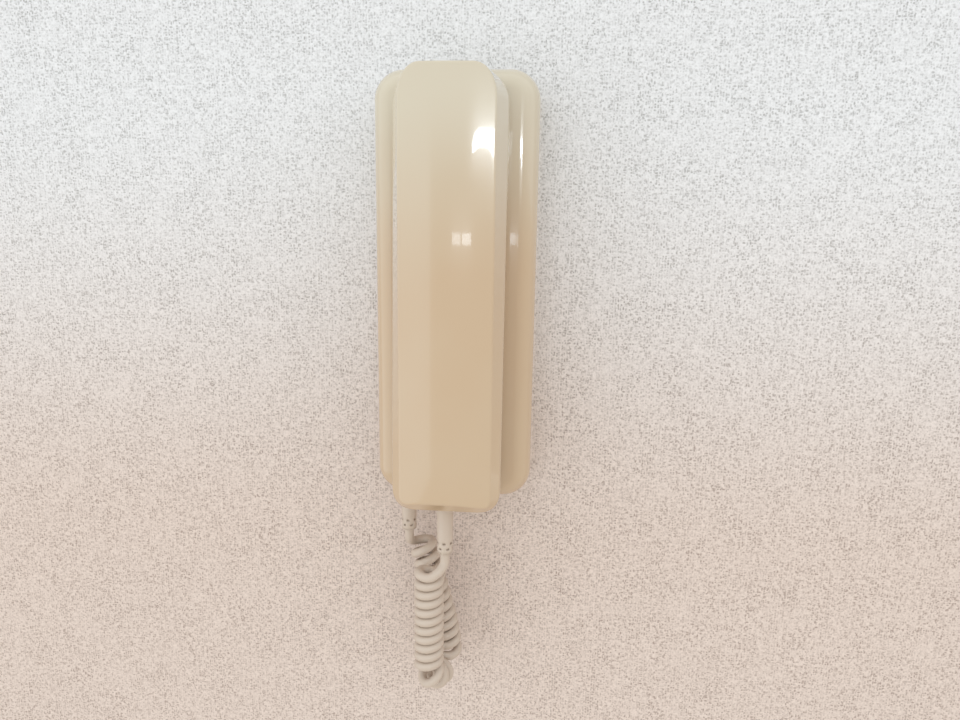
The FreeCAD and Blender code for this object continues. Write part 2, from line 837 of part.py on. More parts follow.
def ringer_speaker():
    """The round speaker behind the sound slots: rim, basket and magnet."""
    rim_back = "speaker_face - speaker_rim"
    basket_back = f"{rim_back} - speaker_basket"
    return join(
        "ringer_speaker",
        rod("speaker_rim_ring", "0", rim_back, "speaker_rise", "speaker_radius", "speaker_rim"),
        taper(
            "speaker_basket_cone", "0", basket_back, "speaker_rise", "magnet_radius",
            "speaker_radius - 1.5", "speaker_basket",
        ),
        rod("speaker_magnet", "0", "speaker_back", "speaker_rise", "magnet_radius", "magnet_depth"),
    )


def speaker_cloth():
    return rod("speaker_cloth", "0", "speaker_face", "speaker_rise", "speaker_radius", "cloth_sheet")


def speaker_clamp():
    """The strip across the magnet that holds the speaker against the cover."""
    strip = block(
        "speaker_strip", "0", "speaker_back - clamp_sheet", "speaker_rise",
        "2 * (speaker_post + post_radius)", "clamp_sheet", "clamp_width",
    )
    holes = [
        pilot_along(
            f"speaker_clamp_hole_{side}", f"{across} * speaker_post", "speaker_back - clamp_sheet - 1",
            "speaker_rise", "3", -1, "slide_gap",
        )
        for side, across in SIDES
    ]
    return cut("speaker_clamp", strip, *holes)


def speaker_clamp_screws():
    return join(
        "speaker_clamp_screws",
        *[
            screw_along(
                f"speaker_clamp_screw_{side}", f"{across} * speaker_post", "speaker_back - clamp_sheet",
                "speaker_rise", "screw_length", -1,
            )
            for side, across in SIDES
        ],
    )


def push_piece(name, rise, radius, tip, collar, stem_end):
    """A round push piece: its head through the cover, a collar behind the cover and a stem to the switch."""
    return join(
        name,
        rod(name + "_head", "0", collar, rise, radius, f"{tip} - {collar}"),
        rod(
            name + "_collar", "0", f"{collar} - collar_sheet", rise, f"{radius} + collar_extra",
            "collar_sheet",
        ),
        rod(name + "_stem", "0", stem_end, rise, "stem_radius", f"{collar} - {stem_end}"),
    )


def push_guide(name, rise, radius, floor):
    """The cup behind the cover in which a push piece slides, with its spring on the floor."""
    bore = f"{radius} + collar_extra + slide_gap"
    cup = rod(
        name + "_cup", "0", f"{floor} - guide_wall", rise, f"{bore} + guide_wall",
        f"front_inside - ({floor} - guide_wall)",
    )
    room = rod(name + "_bore", "0", floor, rise, bore, "base_depth")
    stem_hole = rod(
        name + "_stem_hole", "0", f"{floor} - 2 * guide_wall", rise, "stem_radius + slide_gap",
        "3 * guide_wall",
    )
    return cut(name, cup, room, stem_hole)


def hook_plunger():
    """The plunger that the hung handset holds in."""
    return push_piece(
        "hook_plunger", "hook_rise", "hook_radius", "hook_tip", "hook_collar", "hook_stem_end",
    )


def hook_plunger_guide():
    return push_guide("hook_plunger_guide", "hook_rise", "hook_radius", "hook_guide")


def hook_switch():
    """The switch on the board under the plunger's stem."""
    body = block(
        "hook_switch_body", "0", "board_front", "hook_rise", "hook_switch_width", "hook_switch_depth - 0.8",
        "hook_switch_height",
    )
    return join(
        "hook_switch", body,
        rod("hook_switch_pip", "0", "board_front", "hook_rise", "stem_radius", "hook_switch_depth"),
    )


def call_button():
    """The round call button, behind the hung handset."""
    return push_piece(
        "call_button", "button_rise", "button_radius", "button_tip", "button_collar", "button_stem_end",
    )


def call_button_guide():
    return push_guide("call_button_guide", "button_rise", "button_radius", "button_guide")


def call_button_switch():
    """The small square switch on the board under the button's stem."""
    body = block(
        "call_switch_body", "0", "board_front", "button_rise", "button_switch_width",
        "button_switch_depth - 0.8", "button_switch_width",
    )
    return join(
        "call_button_switch", body,
        rod("call_switch_pip", "0", "board_front", "button_rise", "stem_radius", "button_switch_depth"),
    )


def volume_knob():
    """The slider that sticks out of the bottom wall."""
    high = "volume_low - base_low + volume_knob_drop + 2 - slide_gap"
    return block(
        "volume_knob", "volume_right", "volume_out - volume_knob_depth / 2",
        f"base_low - volume_knob_drop + ({high}) / 2", "volume_knob_width", "volume_knob_depth", high,
    )


def volume_switch():
    """The slide switch on the board that carries the volume knob."""
    body = block(
        "volume_switch_body", "volume_right", "board_front", "volume_low + volume_switch_height / 2",
        "volume_switch_width", "volume_switch_depth", "volume_switch_height",
    )
    groove = block(
        "volume_switch_groove", "volume_right", "volume_out - volume_knob_depth / 2 - slide_gap",
        "volume_low", "volume_groove", "volume_knob_depth + 2 * slide_gap", "4",
    )
    return cut("volume_switch", body, groove)


def line_transformer():
    """The speech transformer: a laminated core with its winding."""
    core = block(
        "transformer_core", "transformer_right", "board_front", "transformer_rise", "transformer_size",
        "0.7 * transformer_size", "transformer_size",
    )
    winding = peg(
        "transformer_winding", "transformer_right", "board_front + 0.35 * transformer_size",
        "transformer_rise - 0.65 * transformer_size", "0.34 * transformer_size", "1.3 * transformer_size",
    )
    return join("line_transformer", core, winding)


def board_capacitors():
    """Three upright capacitors beside the transformer."""
    return join(
        "board_capacitors",
        *[
            rod(
                f"capacitor_{number}", "-transformer_right", "board_front",
                f"transformer_rise + ({number} - 2) * 2.5 * capacitor_radius", "capacitor_radius",
                "capacitor_depth",
            )
            for number in (1, 2, 3)
        ],
    )


def cord_relief(name, right, out, wall_low, wall):
    """A strain relief: a flange inside the wall, a neck through it and a tapered boot with notches."""
    flange = peg(
        name + "_flange", right, out, f"{wall_low} + {wall}", "relief_radius + relief_flange_extra",
        "relief_flange",
    )
    neck = peg(name + "_neck", right, out, wall_low, "relief_radius", f"{wall} + relief_flange / 2")
    boot = doc.addObject("Part::Cone", name + "_boot")
    tie(boot, Radius1="relief_end_radius", Radius2="relief_radius", Height=f"{wall_low} - relief_end_rise")
    stand(boot, right, out, "relief_end_rise")
    notches = []
    for row in range(2):
        for turn in range(6):
            angle = 60.0 * turn + 30.0 * row
            x, y = math.cos(math.radians(angle)), math.sin(math.radians(angle))
            notch = doc.addObject("Part::Box", f"{name}_notch_{row}_{turn}")
            notch.Placement = Placement(Vector(), Rotation(Vector(0, 0, 1), angle))
            tie(notch, Length="relief_radius", Width="notch_width", Height="notch_height")
            start = "(relief_end_radius - notch_depth)"
            stand(
                notch,
                f"{right} + {start} * ({x:.5f}) + notch_width / 2 * ({y:.5f})",
                f"{out} - {start} * ({y:.5f}) + notch_width / 2 * ({x:.5f})",
                f"relief_end_rise + notch_from_end + {row} * notch_pitch",
            )
            notches.append(notch)
    return cut(name, join(name + "_blank", flange, neck, boot), *notches)


def base_cord_relief():
    return cord_relief(
        "base_cord_relief", "base_exit_right", "base_exit_out", "base_low", "cover_wall + base_flange_lift",
    )


def handset_cord_relief():
    return cord_relief(
        "handset_cord_relief", "handset_exit_right", "handset_exit_out", "handset_low", "handset_wall",
    )


def handset_posts():
    """The two screw posts that join the handset's shells."""
    return (("high", "0", "handset_post_high"), ("low", "handset_post_right", "handset_post_low"))


def handset_front_shell():
    """The crowned outer shell of the handset."""
    outside = handset_form("handset_outside", "0")
    hollow = handset_form("handset_hollow", "handset_wall")
    behind = block("behind_front_shell", "0", "0", "0", "2 * base_width", "handset_seam", "2 * base_height")
    posts = [
        rod(
            f"handset_post_{place}", right, "handset_seam", rise, "post_radius",
            "handset_inside + handset_wall / 2 - handset_seam",
        )
        for place, right, rise in handset_posts()
    ]
    holes = [
        pilot_along(
            f"handset_pilot_{place}", right, "handset_back", rise, "screw_length + handset_wall", -1,
        )
        for place, right, rise in handset_posts()
    ]
    holes.append(peg(
        "handset_cord_hole", "handset_exit_right", "handset_exit_out", "handset_low - 1",
        "relief_radius + slide_gap", "handset_wall + 2",
    ))
    shell = cut("handset_shell", outside, hollow, behind)
    return cut("handset_front_shell", join("handset_shell_blank", shell, *posts), *holes)


def inner_posts():
    """Posts on the rear shell for the ballast weight and the small board."""
    posts = [(f"ballast_{end}", "0", f"{way} * ballast_height / 3") for end, way in ENDS]
    posts += [
        (f"link_{side}", f"{across} * link_board_width / 3", "link_board_rise")
        for side, across in SIDES
    ]
    return posts


def receiver_posts():
    return [(f"receiver_{end}", f"ear_rise + {way} * receiver_post") for end, way in ENDS]


def handset_rear_shell():
    """The flat shell towards the base, with the receiver's boss and the mouthpiece's boss."""
    slab = block("rear_slab", "0", "handset_back", "0", "2 * base_width", "handset_wall", "2 * base_height")
    lip_slab = block(
        "lip_slab", "0", "handset_back", "0", "2 * base_width", "handset_wall + lip_height",
        "2 * base_height",
    )
    plate = doc.addObject("Part::Common", "rear_plate")
    plate.Base = handset_form("rear_outline", "0")
    plate.Tool = slab
    lip = doc.addObject("Part::Common", "lip_outside")
    lip.Base = handset_form("lip_outline", "handset_wall + slide_gap")
    lip.Tool = lip_slab
    ring = cut("lip_ring", lip, handset_form("lip_hollow", "handset_wall + slide_gap + lip_wall"))
    boot_floor = "mouth_face + handset_wall"
    solids = [
        plate,
        ring,
        rod("ear_boss_solid", "0", "ear_face", "ear_rise", "ear_radius", "handset_seam - ear_face"),
        rounded_block(
            "mouth_boss_solid", "0", "mouth_face", "mouth_rise", "mouth_width", "handset_seam - mouth_face",
            "mouth_height", "mouth_corner",
        ),
    ]
    holes = [
        rod(
            "ear_boss_bore", "0", "ear_face + handset_wall", "ear_rise", "ear_radius - handset_wall",
            "handset_depth",
        ),
        rounded_block(
            "mouth_boss_bore", "0", boot_floor, "mouth_rise", "mouth_width - 2 * handset_wall",
            "handset_depth", "mouth_height - 2 * handset_wall", "mouth_corner - handset_wall",
        ),
    ]
    for turn in range(6):
        x, z = math.cos(math.radians(60 * turn)), math.sin(math.radians(60 * turn))
        holes.append(rod(
            f"sound_hole_{turn}", f"sound_hole_ring * ({x:.5f})", "ear_face - 1",
            f"ear_rise + sound_hole_ring * ({z:.5f})", "sound_hole_radius", "handset_wall + 2",
        ))
    holes.append(rod(
        "sound_hole_middle", "0", "ear_face - 1", "ear_rise", "sound_hole_radius", "handset_wall + 2",
    ))
    for number in (-1, 0, 1):
        holes.append(rod(
            f"mouth_hole_{number}", f"{number} * 3 * sound_hole_radius", "mouth_face - 1", "mouth_rise",
            "sound_hole_radius", "handset_wall + 2",
        ))
    base = cut("rear_blank", join("rear_joined", *solids), *holes)
    added = [
        rod(f"post_{name}", right, "handset_seam - 1", rise, "post_radius", "lip_height + 1")
        for name, right, rise in inner_posts()
    ]
    added += [
        rod(
            f"post_{name}", "0", "handset_seam - 1", rise, "post_radius",
            "receiver_back - handset_seam + 1",
        )
        for name, rise in receiver_posts()
    ]
    boot_ring = cut(
        "boot_ring_wall",
        rod(
            "boot_ring_outside", "0", f"{boot_floor} - 1", "mouth_rise",
            "boot_radius + slide_gap + boot_ring", "microphone_depth",
        ),
        rod(
            "boot_ring_inside", "0", f"{boot_floor} - 2", "mouth_rise", "boot_radius + slide_gap",
            "2 * microphone_depth",
        ),
    )
    drilled = [
        pilot_along(f"receiver_pilot_{name}", "0", "receiver_back + clamp_sheet", rise, "screw_length", 1)
        for name, rise in receiver_posts()
    ]
    for name, right, rise in inner_posts():
        drilled.append(pilot_along(f"pilot_{name}", right, "inner_seat", rise, "lip_height + fit_gap", 1))
    for place, right, rise in handset_posts():
        drilled.append(rod(
            f"handset_screw_hole_{place}", right, "handset_back - 1", rise, "screw_radius + slide_gap",
            "handset_wall + 2",
        ))
        drilled.append(rod(
            f"handset_screw_sink_{place}", right, "handset_back - 1", rise, "screw_head_radius + slide_gap",
            "screw_head_height + 1",
        ))
    return cut("handset_rear_shell", join("rear_with_posts", base, boot_ring, *added), *drilled)


def handset_screws():
    return join(
        "handset_screws",
        *[
            screw_along(
                f"handset_screw_{place}", right, "handset_back + screw_head_height", rise, "screw_length",
                -1,
            )
            for place, right, rise in handset_posts()
        ],
    )


def receiver_gasket():
    """The foam ring between the receiver and its boss."""
    ring = rod(
        "gasket_outside", "0", "ear_face + handset_wall", "ear_rise", "receiver_radius", "gasket_sheet",
    )
    return cut(
        "receiver_gasket", ring,
        rod("gasket_hole", "0", "ear_face", "ear_rise", "receiver_radius - gasket_width", "ear_boss"),
    )


def receiver_capsule():
    """The earpiece capsule: a wide face and a narrower back."""
    face = rod("capsule_face", "0", "receiver_face", "ear_rise", "receiver_radius", "0.6 * receiver_depth")
    return join(
        "receiver_capsule", face,
        rod("capsule_back", "0", "receiver_face", "ear_rise", "0.7 * receiver_radius", "receiver_depth"),
    )


def receiver_clamp():
    """The strip that holds the receiver in its boss."""
    strip = block(
        "receiver_strip", "0", "receiver_back", "ear_rise", "clamp_width", "clamp_sheet",
        "2 * (receiver_post + post_radius)",
    )
    holes = [
        pilot_along(
            f"receiver_clamp_hole_{name}", "0", "receiver_back + 2 * clamp_sheet", rise, "3", 1,
            "slide_gap",
        )
        for name, rise in receiver_posts()
    ]
    return cut("receiver_clamp", strip, *holes)


def receiver_clamp_screws():
    return join(
        "receiver_clamp_screws",
        *[
            screw_along(f"clamp_screw_{name}", "0", "receiver_back + clamp_sheet", rise, "screw_length", 1)
            for name, rise in receiver_posts()
        ],
    )


def microphone_boot():
    """The rubber cup round the microphone."""
    floor = "mouth_face + handset_wall"
    cup = rod("boot_outside", "0", floor, "mouth_rise", "boot_radius", "microphone_depth + boot_wall")
    bore = rod(
        "boot_bore", "0", f"{floor} + boot_wall", "mouth_rise", "microphone_radius + thread_gap",
        "handset_depth",
    )
    return cut(
        "microphone_boot", cup, bore,
        rod("boot_sound_hole", "0", f"{floor} - 1", "mouth_rise", "2 * sound_hole_radius", "handset_depth"),
    )


def microphone_capsule():
    return rod(
        "microphone_capsule", "0", "mouth_face + handset_wall + boot_wall", "mouth_rise",
        "microphone_radius", "microphone_depth",
    )


def screwed_plate(name, right, rise, wide, deep, high, posts):
    """A plate on the rear shell's inner posts, with clearance holes for its screws."""
    sheet = rounded_block(name + "_blank", right, "inner_seat", rise, wide, deep, high, "1")
    holes = [
        rod(f"{name}_hole_{post}", x, "inner_seat - 1", z, "screw_radius + slide_gap", f"{deep} + 2")
        for post, x, z in posts
    ]
    return cut(name, sheet, *holes)


def ballast_weight():
    """The steel bar that gives the handset its weight."""
    return screwed_plate(
        "ballast_weight", "0", "0", "ballast_width", "ballast_depth", "ballast_height", inner_posts()[:2],
    )


def link_board():
    """The small board where the cord's wires join those of the capsules."""
    return screwed_plate(
        "link_board", "0", "link_board_rise", "link_board_width", "board_sheet", "link_board_height",
        inner_posts()[2:],
    )


def plate_screws(name, deep, posts):
    """Screws through such a plate into its posts."""
    return join(
        name,
        *[
            screw_along(f"{name}_{post}", right, f"inner_seat + {deep}", rise, f"{deep} + lip_height", 1)
            for post, right, rise in posts
        ],
    )


def ballast_screws():
    return plate_screws("ballast_screws", "ballast_depth", inner_posts()[:2])


def link_board_screws():
    return plate_screws("link_board_screws", "board_sheet", inner_posts()[2:])


def wire_tube(name, samples, radius):
    """One round wire through points with given directions. Gives the object and its centre line's arcs."""
    edges = []
    for (start, start_way), (end, end_way) in zip(samples, samples[1:]):
        edges += smooth_pair(start, start_way, end, end_way)
    ring = Part.Wire(Part.Circle(samples[0][0], samples[0][1], radius).toShape())
    tube = doc.addObject("Part::Feature", name)
    tube.Shape = Part.Wire(edges).makePipeShell([ring], True, False)
    return tube, edges


def coil_spring(name, rise, radius, floor, room, turns):
    """A compression spring round a stem, between its cup's floor and the collar."""
    coil = size(radius) + size("collar_extra") - size("spring_wire")
    back = size(floor) + size("spring_wire")
    climb = (size(room) - 2 * size("spring_wire")) / size(turns) / (2 * math.pi)
    samples = []
    for quarter in range(round(4 * size(turns)) + 1):
        angle = quarter * math.pi / 2
        place = Vector(coil * math.cos(angle), -back - climb * angle, size(rise) + coil * math.sin(angle))
        way = Vector(-coil * math.sin(angle), -climb, coil * math.cos(angle))
        samples.append((place, way.normalize()))
    return wire_tube(name, samples, size("spring_wire") / 2)[0]


def hook_plunger_spring():
    return coil_spring(
        "hook_plunger_spring", "hook_rise", "hook_radius", "hook_guide", "hook_spring_room",
        "hook_spring_turns",
    )


def call_button_spring():
    return coil_spring(
        "call_button_spring", "button_rise", "button_radius", "button_guide", "button_spring_room",
        "button_spring_turns",
    )


def route_curve():
    """The coil's axis: a smooth curve drawn to the route's points."""
    poles = [Vector(*point) for point in CORD_ROUTE]
    spans = len(poles) - 2
    repeats = [3] + [1] * (spans - 1) + [3]
    curve = Part.BSplineCurve()
    curve.buildFromPolesMultsKnots(poles, repeats, list(range(spans + 1)), False, 2)
    return curve


def route_stations(curve):
    """Evenly spaced points on the axis, each with its direction and its distance along the axis."""
    length = curve.length()
    count = math.ceil(length / STATION_STEP)
    stations = []
    for number in range(count + 1):
        along = length * number / count
        where = curve.parameterAtDistance(along, curve.FirstParameter)
        ahead = curve.tangent(where)[0]
        stations.append((along, curve.value(where), ahead))
    return stations


def bend_at(stations, number):
    """How sharply the axis bends near a station, in radians for each millimetre."""
    reach = round(BEND_REACH / STATION_STEP)
    first = max(number - reach, 0)
    last = min(number + reach, len(stations) - 1)
    turned = stations[first][2].getAngle(stations[last][2])
    return turned / (stations[last][0] - stations[first][0])


def winding_angles(stations):
    """The coil's angle at each station. Turns open in a bend, so that they stay apart on its inside."""
    curl = (size("curl_diameter") - size("wire_diameter")) / 2
    length = stations[-1][0]
    angles = [0.0]
    for number in range(1, len(stations)):
        step = stations[number][0] - stations[number - 1][0]
        share = (stations[number][0] / length) ** LAY_POWER
        lay = size("front_lay") + (size("back_lay") - size("front_lay")) * share
        pitch = lay / (1 - BEND_ROOM * bend_at(stations, number) * curl)
        angles.append(angles[-1] + 2 * math.pi * step / pitch)
    start = math.radians(CURL_START_DEGREES)
    end = math.radians(CURL_END_DEGREES)
    turns = round((angles[-1] - (end - start)) / (2 * math.pi))
    scale = (end - start + 2 * math.pi * turns) / angles[-1]
    return [start + scale * angle for angle in angles]


def coil_point(station, angle):
    """The wire's centre at one angle round the axis."""
    curl = (size("curl_diameter") - size("wire_diameter")) / 2
    along, middle, ahead = station
    side = CURL_REFERENCE - ahead * CURL_REFERENCE.dot(ahead)
    side.normalize()
    over = ahead.cross(side)
    return middle + (side * math.cos(angle) + over * math.sin(angle)) * curl


def coil_samples():
    """Points on the coil a quarter turn apart, each with the wire's direction there."""
    curve = route_curve()
    stations = route_stations(curve)
    angles = winding_angles(stations)
    length = stations[-1][0]

    def at(angle):
        number = next((n for n in range(1, len(angles)) if angles[n] >= angle), len(angles) - 1)
        share = (angle - angles[number - 1]) / (angles[number] - angles[number - 1])
        along = stations[number - 1][0] + share * (stations[number][0] - stations[number - 1][0])
        where = curve.parameterAtDistance(min(max(along, 0.0), length), curve.FirstParameter)
        return coil_point((along, curve.value(where), curve.tangent(where)[0]), angle)

    quarters = math.ceil((angles[-1] - angles[0]) / (math.pi / 2))
    samples = []
    for number in range(quarters + 1):
        angle = angles[0] + (angles[-1] - angles[0]) * number / quarters
        nudge = 0.02
        before = at(max(angle - nudge, angles[0]))
        after = at(min(angle + nudge, angles[-1]))
        samples.append((at(angle), (after - before).normalize()))
    return samples


def arc_edge(start, ahead, end):
    """A circular arc that leaves the start in the given direction."""
    chord = end - start
    along = ahead.dot(chord) / chord.Length
    side = ahead - chord * (along / chord.Length)
    if side.Length < 1e-6:
        return Part.LineSegment(start, end).toShape()
    half_turn = math.atan2(side.Length, along) / 2
    side.normalize()
    top = (start + end) * 0.5 + side * (chord.Length / 2 * math.tan(half_turn))
    return Part.Arc(start, top, end).toShape()


def smooth_pair(start, start_way, end, end_way):
    """Two arcs that join two points and keep the given directions at both."""
    gap = end - start
    both = gap.dot(start_way + end_way)
    spread = 2 * (1 - start_way.dot(end_way))
    if spread < 1e-9:
        reach = gap.dot(gap) / (4 * gap.dot(end_way))
    else:
        reach = (math.sqrt(both * both + spread * gap.dot(gap)) - both) / spread
    meeting = (start + end + (start_way - end_way) * reach) * 0.5
    first = arc_edge(start, start_way, meeting)
    turned = (meeting - start) - start_way * reach
    second_way = turned.normalize() if turned.Length > 1e-9 else start_way
    return [first, arc_edge(meeting, second_way, end)]


def curly_cord():
    """One unbroken tube: a straight lead at each relief and the coil between them."""
    wire = size("wire_diameter")
    down = Vector(0, 0, -1)
    handset_end = Vector(size("handset_exit_right"), -size("handset_exit_out"), size("relief_end_rise"))
    base_end = Vector(size("base_exit_right"), -size("base_exit_out"), size("relief_end_rise"))
    leaving = [(handset_end, down), (handset_end + down * wire, down)]
    arriving = [(base_end + down * wire, -down), (base_end, -down)]
    cord, edges = wire_tube("curly_cord", leaving + coil_samples() + arriving, wire / 2)
    print_cord_facts(Part.Wire(edges), edges, wire)
    return cord


def print_cord_facts(path, edges, wire):
    """Prints the wire's length, its tightest bend and its least gap to itself."""
    radii = sorted(edge.Curve.Radius for edge in edges if hasattr(edge.Curve, "Radius"))
    points = path.discretize(Distance=0.4)
    step = path.Length / (len(points) - 1)
    skip = math.ceil(2.2 * wire / step)
    least = min(
        (points[far] - points[near]).Length
        for near in range(len(points))
        for far in range(near + skip, len(points))
        if abs(points[far].z - points[near].z) < 2 * wire
    )
    tightest = [round(radius, 2) for radius in radii[:4]]
    print(f"cord wire {path.Length:.1f} mm, tightest radii {tightest}, least gap {least - wire:.2f} mm")


PARTS = [
    wall_bracket, base_chassis, base_front_cover, cover_screws, main_board, board_screws, terminal_block,
    terminal_screws, ringer_speaker, speaker_cloth, speaker_clamp, speaker_clamp_screws, hook_switch,
    hook_plunger, hook_plunger_guide, hook_plunger_spring, call_button, call_button_guide, call_button_spring,
    call_button_switch, volume_switch, volume_knob, line_transformer, board_capacitors, base_cord_relief,
    handset_front_shell, handset_rear_shell, receiver_capsule, receiver_gasket, receiver_clamp,
    receiver_clamp_screws, microphone_capsule, microphone_boot, ballast_weight, ballast_screws, link_board,
    link_board_screws, handset_screws, handset_cord_relief, curly_cord,
]

made = {}
for make in PARTS:
    made[make.__name__] = make()
doc.recompute()

for thing in doc.Objects:
    if "Invalid" in thing.State or "Error" in thing.State:
        raise RuntimeError(f"{thing.Label} didn't compute: {thing.State}")

os.makedirs("parts", exist_ok=True)
for name, part in made.items():
    part.Label = name
    if part.Shape.isNull() or not part.Shape.isValid() or not part.Shape.Solids:
        raise RuntimeError(f"{name} has no valid solid")
    part.Shape.exportStep(f"parts/{name}.step")
    box = part.Shape.BoundBox
    print(
        f"{name}: {len(part.Shape.Solids)} solid(s), {part.Shape.Volume:.1f} mm3, "
        f"X {box.XMin:.1f} {box.XMax:.1f}, Y {box.YMin:.1f} {box.YMax:.1f}, Z {box.ZMin:.1f} {box.ZMax:.1f}"
    )
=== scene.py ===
import json
import math

import bmesh
import bpy
import numpy as np
from bpy.props import FloatProperty, FloatVectorProperty, IntProperty, PointerProperty
from bpy.types import Operator, Panel, PropertyGroup
from mathutils import Matrix, Vector


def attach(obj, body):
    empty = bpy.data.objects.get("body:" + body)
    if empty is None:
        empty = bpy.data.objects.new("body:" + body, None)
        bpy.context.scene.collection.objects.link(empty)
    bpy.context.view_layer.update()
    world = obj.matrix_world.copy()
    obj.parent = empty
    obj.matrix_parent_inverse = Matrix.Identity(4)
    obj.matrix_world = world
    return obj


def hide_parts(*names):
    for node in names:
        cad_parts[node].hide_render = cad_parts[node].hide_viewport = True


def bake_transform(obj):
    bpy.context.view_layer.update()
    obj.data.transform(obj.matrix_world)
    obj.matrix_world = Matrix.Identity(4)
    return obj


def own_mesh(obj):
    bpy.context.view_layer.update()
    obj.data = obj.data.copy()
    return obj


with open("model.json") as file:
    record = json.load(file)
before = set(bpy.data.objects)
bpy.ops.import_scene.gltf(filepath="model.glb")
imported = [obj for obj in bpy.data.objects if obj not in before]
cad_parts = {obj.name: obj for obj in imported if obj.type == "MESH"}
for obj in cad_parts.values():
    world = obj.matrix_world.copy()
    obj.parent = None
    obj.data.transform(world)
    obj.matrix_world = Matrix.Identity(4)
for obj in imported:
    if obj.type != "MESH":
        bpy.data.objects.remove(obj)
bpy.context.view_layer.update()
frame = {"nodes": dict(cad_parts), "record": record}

bl_info = {
    "name": "Wall telephone",
    "version": (1, 0, 0),
    "blender": (4, 5, 0),
    "location": "3D View > Sidebar > Telephone",
    "description": "Dresses a slim wall telephone with its shells, coiled cord, finishes and stage",
    "category": "Add Mesh",
}

# Points closer than this are joined: in a piece made here, in a copy of a CAD node and in the cord.
JOIN_GAP = 1e-6
COPY_JOIN_GAP = 2e-6
CORD_JOIN_GAP = 1e-7
# Edges that turn by more than this stay sharp: in a piece made here and in a copy of a CAD node.
SHARP_DEGREES = 50.0
COPY_SHARP_DEGREES = 30.0
# A face counts as flat and square to an axis when the cosine between them is more than this.
FLAT_COSINE = 0.99999

# How square the handset's corners are, at its low end and at its high end: see corner_reach.
BACK_CORNERS = (2.5, 2.4)
SHOULDER_CORNERS = (2.5, 2.0)
FACE_CORNERS = (5.0, 2.1)
# Points across half an end of the handset, round a corner and along a side, with both their ends.
END_POINTS = 12
CORNER_POINTS = 15
SIDE_POINTS = 42
# The face's rings, as shares of the way from its edge to its middle line.
FACE_SHARES = (0.08, *np.linspace(0.16, 1.0, 9))
# How much less the hollow measures than the outer form, as shares of the shell's thickness: half its face,
# its low shoulder where the low bevel is measured, its shoulders, and its two roundings.
FACE_SIDE_SHARE = 0.55
LOW_END_SHARE = 0.4
SHOULDER_SHARE = 0.3
SHOULDER_ROUND_SHARE = 0.4
FACE_ROUND_SHARE = 0.2
SHORTEST_ROUND = 0.0003

# The coil's axis from the handset's end round the bottom to the base's end, in metres.
CORD_ROUTE = [
    (-0.0098, -0.0420, -0.1356),
    (-0.0099, -0.0396, -0.1376),
    (-0.0102, -0.0387, -0.1435),
    (-0.0104, -0.0385, -0.1660),
    (-0.0104, -0.0384, -0.1865),
    (-0.0104, -0.0384, -0.1970),
    (-0.0082, -0.0316, -0.2034),
    (-0.0052, -0.0202, -0.2058),
    (-0.0036, -0.0132, -0.2010),
    (-0.0040, -0.0146, -0.1895),
    (-0.0080, -0.0150, -0.1720),
    (-0.0124, -0.0148, -0.1560),
    (-0.0148, -0.0144, -0.1465),
    (-0.0183, -0.0132, -0.1357),
]
# The level direction square to the plane of the cord's U turn.
CURL_REFERENCE = (0.961, -0.275, 0.0)
CURL_START_DEGREES = 35.0
CURL_END_DEGREES = 150.0
# A bend's sharpness is measured over this much axis on either side. Turns open a little more than it asks.
BEND_REACH = 0.003
BEND_ROOM = 1.15
# The lay stays near the front's until the last turns before the base's relief.
LAY_POWER = 8
# The axis is walked in so many steps, and its direction is evened out over a few of them on either side.
AXIS_STEPS = 1200
EVEN_REACH = 7
# The line between a relief and the coil: its points, and the pull of its ends as a share of their distance.
EASE_POINTS = 14
EASE_PULL = 1.15
# The cord's two lengths meet where it first goes below one height.
CORD_SPLIT_RISE = -0.1965
# Widths of the front length's last rings inside the back one, and of a closed end, as shares of the sheath.
LAP_SHARES = (0.98, 0.96, 0.92)
CLOSED_SHARE = 0.004
# Where the cord leaves the two strain reliefs.
HANDSET_EXIT = (-0.0019, -0.0410, -0.1275)
BASE_EXIT = (-0.0248, -0.0150, -0.1275)
# The cord's colour where it has aged, as a share of its own.
CORD_AGED_SHARE = 0.9

# The wall stands this far behind the telephone's back, and lets light through over so short a way.
WALL_GAP = 0.0004
WALL_CLEAR_WAY = 0.003
WALL_HALF = 1.5
# How far out the bright windows stand. Their outlines are given to the right and up, in metres.
BRIGHT_OUT = -1.56
ARCH_POINTS = 13
ARCH_CORNER_CENTRE = (0.178, 0.200)
ARCH_CORNER_REACH = (0.100, 0.046)
ARCH_RIGHT_LEG = ((0.460, 0.246), (0.460, 0.176), (0.345, 0.183))
ARCH_HUMP_TOP = (0.195, 0.203)
ARCH_HUMP_HALF = 0.100
ARCH_HUMP_FALL = 0.014
ARCH_LEFT_FOOT = (0.082, 0.189)
ARCH_STRENGTH = 30.0
# Each pane's name, left side, right side and strength, and the low and high edge of both.
PANES = (("left_pane", -0.132, -0.036, 7.0), ("right_pane", -0.022, 0.079, 9.0))
PANE_LOW = -0.034
PANE_HIGH = -0.005
# The room's light by direction, as studio_lights reads it. A direction goes out by no less than LEAST_OUT. An
# edge is the range over which the room's colour turns into the next one. The left edge leans away lower down.
ROOM_STRENGTH = 1.45
LEAST_OUT = 0.02
LEFT_EDGE = (-0.238, -0.262)
LEAN_SLOPE = -1.7
LEAN_START = -0.65
CEILING_EDGE = (0.04, 0.15)
BEHIND_EDGE = (-0.05, 0.05)
# The colour of what lies behind the wall's plane, and of what the camera sees where there is nothing.
BEHIND_COLOUR = (0.85, 0.83, 0.80, 1.0)
SEEN_COLOUR = (0.72, 0.71, 0.70, 1.0)


def length_property(name, description, default):
    return FloatProperty(name=name, description=description, default=default, unit="LENGTH", precision=4)


def colour_property(name, description, default):
    return FloatVectorProperty(
        name=name, description=description, default=default, subtype="COLOR", min=0.0, max=1.0
    )


